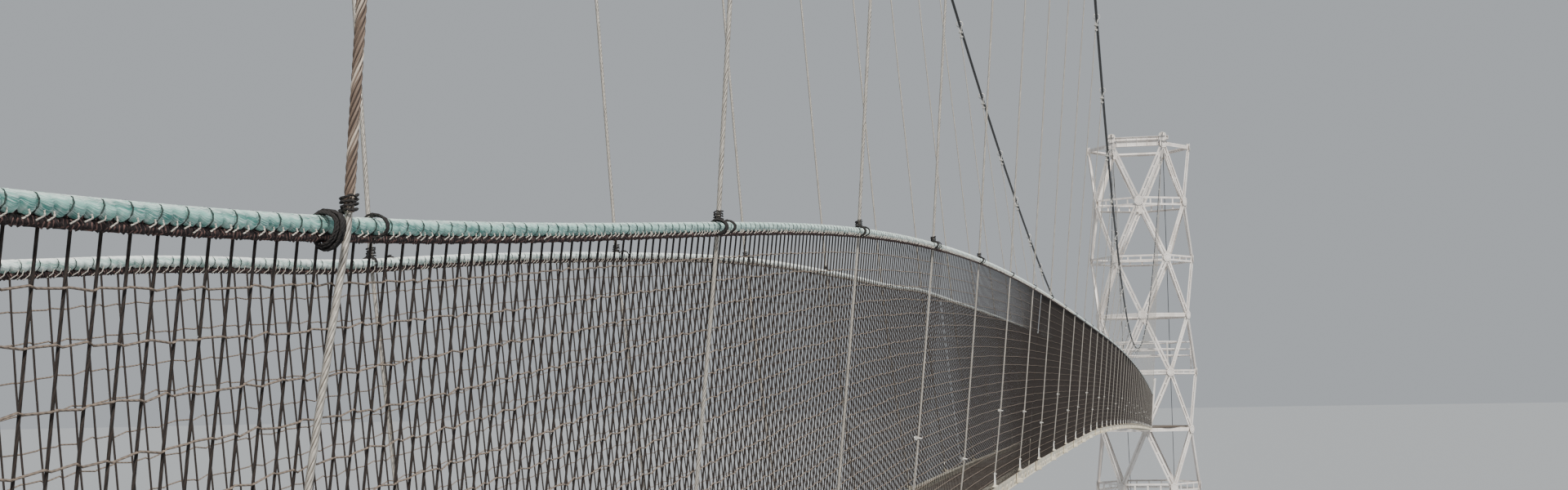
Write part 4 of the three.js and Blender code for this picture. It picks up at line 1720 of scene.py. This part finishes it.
@dataclass
class Tower(Assembly):
    """One lattice tower with its head, landing, end posts and guard rails."""

    end: End
    x: float = 43400 * MM
    radius: float = 2060 * MM
    top_ring: int = 8
    ring_widths: tuple[float, ...] = mm(190, 190, 340, 140, 190, 150, 260, 340, 150)
    tiers: tuple[tuple[str, int, int], ...] = (("lower_tier", 0, 3), ("middle_tier", 3, 6), ("upper_tier", 6, 8))
    # The members: two angles with small plates between them
    member: float = 190 * MM
    leg: float = 72 * MM
    web: float = 95 * MM
    wall: float = 9 * MM
    ring_inset: float = 100 * MM
    brace_inset: float = 150 * MM
    # The corner plates
    gusset_wide: float = 330 * MM
    gusset_cut: float = 90 * MM
    gusset_thick: float = 12 * MM
    gusset_bolts: tuple[tuple[float, float], ...] = (
        (-1, 0.6), (-1, -0.6), (1, 0.6), (1, -0.6), (-0.35, 0.95), (0.35, 0.95), (-0.35, -0.95), (0.35, -0.95)
    )
    # The head's two pairs of channels, from the top ring's height
    head_up: float = 168 * MM
    head_beam: Channel = Channel(*mm(68, 70, 11, 12, 16))
    deep_beam: Channel = Channel(*mm(55, 120, 10, 14, 17))
    stiffener: float = 12 * MM
    # The landing and what stands on it
    board_pitch: float = 145 * MM
    board_gap: float = 9 * MM
    rail_heights: tuple[float, ...] = mm(3020, 3280, 3580)
    rail_inset: float = 175 * MM
    # The end posts
    post_foot: float = 195 * MM
    post_head: float = 430 * MM
    # The bolt, and where it goes on the piece in hand
    bolt: Object | None = field(default=None, init=False)
    bolts: list[Copy] = field(default_factory=list, init=False)

    def ring_z(self, ring: float) -> float:
        """Returns the height of a ring."""
        return self.lines.span.tower_foot + ring * self.lines.span.ring_pitch

    def around(self, turn: float, reach: float, z: float) -> Vector:
        """Returns a place round the tower, by sixths of a turn from the side that faces the span."""
        angle = turn * math.pi / 3
        return at(self.end.value * (self.x - reach * math.cos(angle)), reach * math.sin(angle), z)

    def corner(self, ring: int, corner: int) -> Vector:
        """Returns a corner of a ring; each ring is half a side round from the next."""
        return self.around(corner + (0.5 if ring % 2 == 0 else 0.0), self.radius, self.ring_z(ring))

    def outwards(self, place: Vector) -> Vector:
        """Returns the level direction from the tower's middle to a place."""
        return at(place.x - self.end.value * self.x, place.y, 0).normalized()

    def axes(self, a: Vector, b: Vector) -> tuple[Vector, Vector, Vector]:
        """Returns the directions of a member.

        Args:
            a: Where it starts.
            b: Where it ends.

        Returns:
            The directions along it, across it and out of the tower.
        """
        out = self.outwards((a + b) / 2)
        along = (b - a).normalized()
        across = along.cross(out).normalized()
        face = across.cross(along)
        return along, across, -face if face.dot(out) < 0 else face

    def fix(self, spot: Vector, out: Vector, across: Vector, size: Size = FULL_SIZE) -> None:
        """Puts a bolt into the piece in hand, by where its head points."""
        self.bolts.append((spot, basis(out, across), size))

    def bolted(self) -> Object:
        """Returns the bolts of the piece in hand as one object, and starts again."""
        places, self.bolts = self.bolts, []
        return self.shop.copies(self.bolt, places, self.finishes.zinc)

    def build(self) -> None:
        """Builds the tower."""
        head = Solid()
        head.rod(15 * MM, 6, Vector(), X * 11 * MM, Y)
        self.bolt = head.made("bolt_part", self.finishes.zinc)
        for name, low, high in self.tiers:
            self.tier(name, low, high)
        self.head()
        for side in Side:
            self.saddle(side)
        self.landing()
        self.guard_rails()
        self.end_posts()
        bpy.data.objects.remove(self.bolt)

    def tier(self, name: str, low: int, high: int) -> None:
        """Makes one tier of the lattice.

        Args:
            name: The tier's name in the frame.
            low: Its first ring.
            high: The ring where the next tier starts.
        """
        top = high if high == self.top_ring else high - 1
        bars, plates = Solid(), Solid()
        for ring in range(low, top + 1):
            width = self.ring_widths[ring]
            for c in range(6):
                # The head's beams take the place of the top ring's side that faces the span
                if not (ring == self.top_ring and c == 5):
                    a, b = self.corner(ring, c), self.corner(ring, c + 1)
                    self.strut(bars, plates, a, b, width, self.ring_inset, 3)
                self.gusset(plates, ring, c, width)
        for ring in range(low, high):
            for c in range(6):
                for shift in (0, 1) if ring % 2 == 0 else (-1, 0):
                    a, b = self.corner(ring, c), self.corner(ring + 1, c + shift)
                    self.strut(bars, plates, a, b, self.member, self.brace_inset, 4)
                    self.member_bolts(a, b)
        if low == 0:
            self.feet(plates)
        made = [bars.made("bars", self.finishes.paint), plates.made("plates", self.finishes.paint), self.bolted()]
        settle(f"{self.end.word}_lattice_{name}", made, [f"{self.end.word}_tower_{name}"])

    def strut(self, bars: Solid, plates: Solid, a: Vector, b: Vector, width: float, inset: float, battens: int) -> None:
        """Adds a member: two angles with small plates between them.

        Args:
            bars: Takes the angles.
            plates: Takes the plates.
            a: The corner where it starts.
            b: The corner where it ends.
            width: Its whole width.
            inset: How far it stops short of the corners.
            battens: How many plates it has.
        """
        along, across, face = self.axes(a, b)
        t = self.wall
        for s in BOTH:
            edge, inner = s * width / 2, s * (width / 2 - self.leg)
            outline = [(edge, 0), (inner, 0), (inner, -self.web)]
            outline += [(inner + s * t, -self.web), (inner + s * t, -t), (edge, -t)]
            bases = [p + face * (self.web / 2) for p in (a + along * inset, b - along * inset)]
            bars.loft([[base + across * u + face * v for u, v in outline] for base in bases])
        for i in range(1, battens + 1):
            centre = a.lerp(b, i / (battens + 1)) + face * (self.web / 2 - t * 1.6)
            plates.box(centre, (60 * MM, width * 0.9, t), along=along, across=across)

    def member_bolts(self, a: Vector, b: Vector) -> None:
        """Adds two bolts through each angle near each end of a member.

        Args:
            a: The corner where the member starts.
            b: The corner where it ends.
        """
        along, across, face = self.axes(a, b)
        offset = self.member / 2 - self.leg / 2
        for base, step in ((a, 1), (b, -1)):
            for inset in mm(195, 245):
                for s in BOTH:
                    place = base + along * (step * inset) + across * (s * offset) + face * (self.web / 2)
                    self.fix(place, face, across)

    def gusset(self, into: Solid, ring: int, c: int, width: float) -> None:
        """Adds the plates and bolts of one corner.

        Args:
            into: Takes the plates.
            ring: The ring.
            c: The corner.
            width: The ring member's width.
        """
        place = self.corner(ring, c)
        out = self.outwards(place)
        side = Z.cross(out)
        tall = max(self.gusset_wide, width + 30 * MM)
        plate = cut_rectangle(self.gusset_wide, tall, self.gusset_cut)
        front, back = self.web * 0.62, -self.web * 0.55
        for depth in (front, back):
            into.prism(plate, place + out * depth, place + out * (depth + self.gusset_thick), side)
        core = Z * (tall / 2 - 20 * MM)
        into.rod(48 * MM, 8, place - core, place + core, side)
        face = place + out * (front + self.gusset_thick)
        for u, v in self.gusset_bolts:
            self.fix(face + side * (u * 105 * MM) + Z * (v * tall * 0.34), out, side)

    def feet(self, into: Solid) -> None:
        """Adds the six base plates with their stiffeners and anchor bolts.

        Args:
            into: Takes the plates.
        """
        for c in range(6):
            top = self.corner(0, c)
            out = self.outwards(top)
            side = Z.cross(out)
            floor = at(top.x, top.y, 0)
            for up, wide in (mm(15, 520), mm(45, 400)):
                into.box(floor + Z * up, (wide, wide, 30 * MM), 4 * MM, out, side)
            into.rod(90 * MM, 12, floor + Z * 50 * MM, top - Z * 100 * MM, side)
            for direction in (out, side):
                size = mm(330, 14, 130)
                into.box(floor + Z * 120 * MM, size, along=direction, across=Z.cross(direction))
            for u, v in CORNERS:
                spot = floor + out * (u * 160 * MM) + side * (v * 160 * MM) + Z * 60 * MM
                self.fix(spot, Z, side, (2.4, 1.6, 1.6))

    def head(self) -> None:
        """Makes the top ring's two pairs of channels, with cheeks beside the saddles."""
        beams = Solid()
        x = self.end.value * self.lines.saddle_x
        base = self.ring_z(self.top_ring) + self.head_up
        middle_z = base + self.head_beam.half
        deep_z = base - 10 * MM - self.deep_beam.half
        half = self.radius / 2 + 230 * MM
        reach = self.radius / 2 - 175 * MM
        pairs = (self.head_beam, 60 * MM, middle_z, half), (self.deep_beam, 30 * MM, deep_z, reach)
        for beam, apart, z, long in pairs:
            for s in BOTH:
                web, outline = x + s * apart, beam.outline(s)
                beams.loft([[at(web + u, y, z + v) for u, v in outline] for y in (-long, long)])
        for share in steps(-0.8, 0.8, 0.4):
            y = share * self.radius / 2
            beams.box(at(x, y, middle_z), (230 * MM, self.stiffener, 112 * MM))
            beams.box(at(x, y, deep_z), (150 * MM, self.stiffener, 204 * MM))
        for s in BOTH:
            beams.box(at(x, s * half, middle_z), (250 * MM, self.stiffener, 150 * MM))
            for t in BOTH:
                cheek = at(x + t * 136 * MM, s * self.lines.saddle_y, base + 100 * MM)
                skin = X * (self.stiffener / 2)
                beams.prism(cut_rectangle(280 * MM, 330 * MM, 40 * MM), cheek - skin, cheek + skin, Y)
                for u, v in CORNERS:
                    spot = cheek + skin * t + at(0, u * 105 * MM, v * 120 * MM)
                    self.fix(spot, X * t, Y, (1.0, 1.2, 1.2))
            for t in BOTH:
                for up in mm(30, 110):
                    for y in steps(0.15, 0.95, 0.2):
                        spot = at(x + t * 71 * MM, s * y * half, base + up)
                        self.fix(spot, X * t, Y, (0.8, 0.8, 0.8))
        made = [beams.made("beams", self.finishes.paint), self.bolted()]
        settle(f"{self.end.word}_head_beams", made, [f"{self.end.word}_tower_top_beam"])

    def saddle(self, side: Side) -> None:
        """Makes a cable saddle: a grooved rocker between cheek plates, on a base plate.

        Args:
            side: Which cable's saddle.
        """
        word = f"{self.end.word}_{side.word}_saddle"
        x, y = middle(word)
        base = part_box(word)[0].z
        saddle = Solid()
        saddle.box(at(x, y, base + 9 * MM), mm(420, 230, 18), 3 * MM)
        bend = self.lines.span.bend - self.lines.span.cable_radius
        top = self.lines.cable_top - self.lines.span.bend

        def hump(off: float, radius: float, half: float, foot: float, step: float) -> Path:
            """Returns the outline of a plate with a flat foot and a round top.

            Args:
                off: How far it is from the saddle's middle.
                radius: Its top's radius.
                half: Half its length.
                foot: How far its foot is above the base.
                step: The longest step round its top.

            Returns:
                The corners, the foot's two first.
            """
            reach = math.asin(half / radius)
            corners = [at(x + s * half, y + off, base + foot) for s in (1, -1)]
            arc = [(x + radius * math.sin(a), y + off, top + radius * math.cos(a)) for a in steps(-reach, reach, step)]
            return corners + [Vector(place) for place in arc]

        for s in BOTH:
            cheek = [s * off * MM for off in (24, 38)]
            saddle.loft([hump(off, bend + 45 * MM, 200 * MM, 18 * MM, 0.09) for off in cheek])
        # The groove's lips, slopes and bed, as (across, over the cable's underside), less the arc's last corner
        groove = ((-25, 18), (-14, 6), (-8, -1), (8, -1), (14, 6), (25, 18))
        saddle.loft([hump(off * MM, bend + up * MM, 180 * MM, 16 * MM, 0.075)[:-1] for off, up in groove])
        for share in (-0.8, -0.3, 0.3, 0.8):
            spot = at(x + share * 190 * MM, y, top + (bend + 34 * MM) * math.cos(share * 0.3))
            saddle.rod(9 * MM, 8, spot - Y * 44 * MM, spot + Y * 44 * MM)
            for s in BOTH:
                self.fix(spot + Y * s * 38 * MM, Y * s, X, (1.2, 1.1, 1.1))
        for u, v in CORNERS:
            self.fix(at(x + u * 170 * MM, y + v * 88 * MM, base + 18 * MM), Z, X, (1.6, 1.3, 1.3))
        settle(f"{word}_rocker", [saddle.made("saddle", self.finishes.paint), self.bolted()], [word])

    def landing(self) -> None:
        """Makes the landing's boards, trimmed to the tower's shape, and their joists."""
        low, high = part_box(f"{self.end.word}_landing")
        centre = self.end.value * self.x
        boards, joists, corner = Solid(), Solid(), self.radius - 158 * MM
        inner = self.radius * math.cos(math.pi / 6) - 10 * MM
        start = low.x + 6 * MM
        shortest = 20 * MM
        for i in range(int((high.x - low.x - 12 * MM) / self.board_pitch) + 1):
            a = start + i * self.board_pitch
            b = min(start + (i + 1) * self.board_pitch - self.board_gap, high.x - 4 * MM)
            if b - a < shortest:
                continue
            mid, z = (a + b) / 2, high.z - 16 * MM + (i % 3) * 1.2 * MM
            ends: list[Path] = [[], []]
            for u, v in cut_rectangle(b - a, 27 * MM, 2.5 * MM):
                reach = max(shortest, self.hex_reach(abs(mid + u - centre), inner, corner))
                for ring, s in zip(ends, BOTH):
                    ring.append(at(mid + u, s * reach, z + v))
            boards.loft(ends)
        for share in (-0.55, 0.0, 0.55):
            reach = self.hex_reach(abs(share) * self.radius, inner, corner)
            place = at(centre, share * self.radius, low.z + 11 * MM)
            joists.box(place, (2 * min(reach, inner) * 0.98, 60 * MM, 22 * MM))
        made = [boards.made("boards", self.finishes.timber), joists.made("joists", self.finishes.paint)]
        settle(f"{self.end.word}_landing_boards", made, [f"{self.end.word}_landing"])

    def hex_reach(self, off: float, inner: float, corner: float) -> float:
        """Returns how far a landing reaches sideways, by how far its flat sides and cut corners are out."""
        slant, past = (inner - off * math.sin(math.pi / 6)) / math.cos(math.pi / 6), off > inner / math.tan(math.pi / 3)
        return max(0.0, min(slant if past else inner, math.sqrt(max(0.0, corner**2 - off**2))))

    def guard_rails(self) -> None:
        """Makes the guard rails above the landing, and their posts."""
        floor = self.ring_z(self.lines.span.deck_ring)
        clear = self.radius - self.rail_inset
        rails = [[self.around(c + 0.5, clear, floor + up) for c in range(7)] for up in self.rail_heights]
        foot, head = self.ring_z(self.lines.span.deck_ring + 1), floor + self.rail_heights[-1]
        posts = [[self.around(c + 0.5, clear, z) for z in (foot, head)] for c in range(6)]
        made = [
            self.shop.cords(rails, Section(27 * MM, 10), self.finishes.paint),
            self.shop.cords(posts, Section(24 * MM, 8), self.finishes.paint),
        ]
        settle(f"{self.end.word}_guard_rails", made)

    def end_posts(self) -> None:
        """Makes the header, the leaning posts and the rope ends' brackets."""
        word = f"{self.end.word}_end_frame"
        x = middle(word)[0]
        frames = Solid()
        posts, rings = [], []
        top = self.lines.end_z
        inwards = X * -self.end.value
        width = 2 * self.lines.span.deck_half
        frames.box(at(x, 0, top - 45 * MM), (width, 78 * MM, 88 * MM), 6 * MM, Y, X)
        for side in Side:
            s = side.value
            rail_z = self.lines.rail(self.end.value * self.lines.end_x, side)
            rope = at(x, s * self.lines.span.rail_half_gap, rail_z)
            foot = at(x, s * self.post_foot, top - 60 * MM)
            head = at(x, s * self.post_head, rail_z + 60 * MM)
            posts.append([foot, foot.lerp(head, 0.5) + Y * s * 6 * MM, head])
            frames.box(at(x, s * 390 * MM, rail_z), mm(78, 110, 60), 8 * MM)
            eye = rope + inwards * 40 * MM
            rings.append([eye + at(0, s * math.cos(a), math.sin(a)) * 17 * MM for a in steps(0, TAU, 0.6)])
            for v in BOTH:
                self.fix(rope + inwards * 39 * MM + at(0, s * 12 * MM, v * 22 * MM), inwards, Y)
        made = [
            frames.made("frame", self.finishes.paint),
            self.shop.cords(posts, Section(37 * MM, 12), self.finishes.paint),
            self.shop.cords(rings, Section(4 * MM, 6), self.finishes.zinc),
            self.bolted(),
        ]
        settle(f"{self.end.word}_end_posts", made, [word])


@dataclass
class Anchorage(Assembly):
    """One anchor block with its shoes and the stays' sockets."""

    end: End
    edge_cut: float = 25 * MM
    corner_cut: float = 30 * MM
    # A shoe's two plates, as a section along and across the stay
    plate: Outline = (mm(-200, -205), mm(210, -205), mm(210, 60), mm(120, 190), mm(-60, 190))
    plate_out: float = 70 * MM
    plate_thick: float = 18 * MM
    # The socket and turnbuckle on the stay: radius, sides, start and end along it
    sleeve: tuple[tuple[float, int, float, float], ...] = (
        (34 * MM, 12, -60 * MM, 180 * MM), (24 * MM, 12, 180 * MM, 330 * MM), (46 * MM, 6, 40 * MM, 70 * MM)
    )
    sleeve_from: float = 225 * MM

    def build(self) -> None:
        """Builds the block, the shoes and the turnbuckles on the stays."""
        word = f"{self.end.word}_anchor_block"
        low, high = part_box(word)
        x, _ = middle(word)
        block, steel = Solid(), Solid()
        top = self.lines.span.block_top
        rings = []
        for z, pull in ((0, 0), (top - self.edge_cut, 0), (top, self.edge_cut)):
            outline = cut_rectangle(high.x - low.x - 2 * pull, high.y - low.y - 2 * pull, self.corner_cut)
            rings.append([at(x + u, v, z) for u, v in outline])
        block.loft(rings)
        for side in Side:
            self.shoe(steel, side, top)
        made = [block.made("block", self.finishes.concrete), steel.made("shoes", self.finishes.zinc)]
        settle(f"{self.end.word}_anchorage", made, [word])

    def shoe(self, steel: Solid, side: Side, top: float) -> None:
        """Adds the shoe that holds one stay, with its pin, base plate and socket.

        Args:
            steel: Takes it.
            side: Which stay.
            top: The block's height.
        """
        shoe = self.lines.shoe(side, self.end)
        stay = self.lines.over_saddle(self.lines.stay_angle, side, self.end)
        towards = (stay - shoe).normalized()
        half = Y * (self.plate_thick / 2)
        for t in BOTH:
            centre = shoe + Y * t * self.plate_out
            steel.prism(self.plate, centre - half, centre + half, towards)
        pin = shoe + towards * 150 * MM
        steel.rod(38 * MM, 14, pin - Y * 100 * MM, pin + Y * 100 * MM)
        steel.box(at(shoe.x, shoe.y, top + 12 * MM), mm(460, 400, 24), 4 * MM)
        sleeve = shoe + towards * self.sleeve_from
        for radius, sides, start, end in self.sleeve:
            steel.rod(radius, sides, sleeve + towards * start, sleeve + towards * end, Y)


# Camera, light and floor


@dataclass(frozen=True)
class Viewpoint:
    """Where the photograph was taken from, found by fitting the bridge's lines to it."""

    place: tuple[float, float, float] = (-3.981972, -0.125246, 0.89131)
    yaw: float = 0.195649
    pitch: float = 0.076739
    roll: float = -0.017404
    lens: float = 45.0
    sensor: float = 36.0
    clip: tuple[float, float] = (0.01, 300.0)

    def build(self) -> None:
        """Makes the camera and gives it to the scene."""
        level = at(math.cos(self.yaw), math.sin(self.yaw), 0)
        ahead = level * math.cos(self.pitch) + Z * math.sin(self.pitch)
        right = at(level.y, -level.x, 0)
        up = right.cross(ahead)
        turned_right = right * math.cos(self.roll) + up * math.sin(self.roll)
        turned_up = up * math.cos(self.roll) - right * math.sin(self.roll)
        data = bpy.data.cameras.new("camera")
        data.lens, data.sensor_width = self.lens, self.sensor
        data.clip_start, data.clip_end = self.clip
        camera = link("camera", data)
        turn = Matrix((turned_right, turned_up, -ahead)).transposed().to_4x4()
        camera.matrix_world = Matrix.Translation(self.place) @ turn
        bpy.context.scene.camera = camera


@dataclass(frozen=True)
class Lamp:
    """A distant lamp: its name, strength, spread in degrees, direction and colour."""

    name: str
    energy: float
    spread: float
    towards: Size
    colour: Colour

    def build(self) -> None:
        """Makes the lamp."""
        data = bpy.data.lights.new(self.name, "SUN")
        data.energy, data.angle, data.color = self.energy, math.radians(self.spread), self.colour
        link(self.name, data).rotation_euler = Vector(self.towards).to_track_quat("-Z", "Y").to_euler()


@dataclass(frozen=True)
class Studio:
    """A pale floor and soft light."""

    floor_radius: float = 90.0
    floor_top: float = -0.0005
    floor_bottom: float = -0.02
    surround: Colour = (0.42, 0.445, 0.47)
    lamps: tuple[Lamp, ...] = (
        Lamp("key", 4.6, 6.0, (0.62, 0.34, -0.72), (1.0, 0.96, 0.90)),
        Lamp("fill", 0.7, 60.0, (-0.5, 0.6, -0.6), (0.92, 0.96, 1.0)),
    )

    def build(self, finishes: Finishes) -> None:
        """Makes the floor, the surround and the lamps.

        Args:
            finishes: The materials, the floor's among them.
        """
        floor = Solid()
        floor.rod(self.floor_radius, 64, Z * self.floor_bottom, Z * self.floor_top)
        floor.made("floor", finishes.floor)
        world = bpy.data.worlds.new("studio")
        world.use_nodes = True
        bpy.context.scene.world = world
        sky = Wiring(world.node_tree)
        back = sky.first("ShaderNodeBackground", {"Color": (*self.surround, 1.0), "Strength": 1.0})
        sky.node("ShaderNodeOutputWorld", {"Surface": back})
        for lamp in self.lamps:
            lamp.build()


def main() -> None:
    """Builds the camera and then the bridge, from the ground up."""
    logging.basicConfig(level=logging.INFO, format="%(name)s: %(message)s")
    Viewpoint().build()
    lines, shop, finishes = Lines(Span()), Workshop(), Finishes()
    Studio().build(finishes)
    for end in End:
        Anchorage(lines, shop, finishes, end).build()
        Tower(lines, shop, finishes, end).build()
    Deck(lines, shop, finishes).build()
    for side in Side:
        Suspension(lines, shop, finishes, side).build()
        Netting(lines, shop, finishes, side).build()
        Handrail(lines, shop, finishes, side).build()


if __name__ == "__main__":
    main()
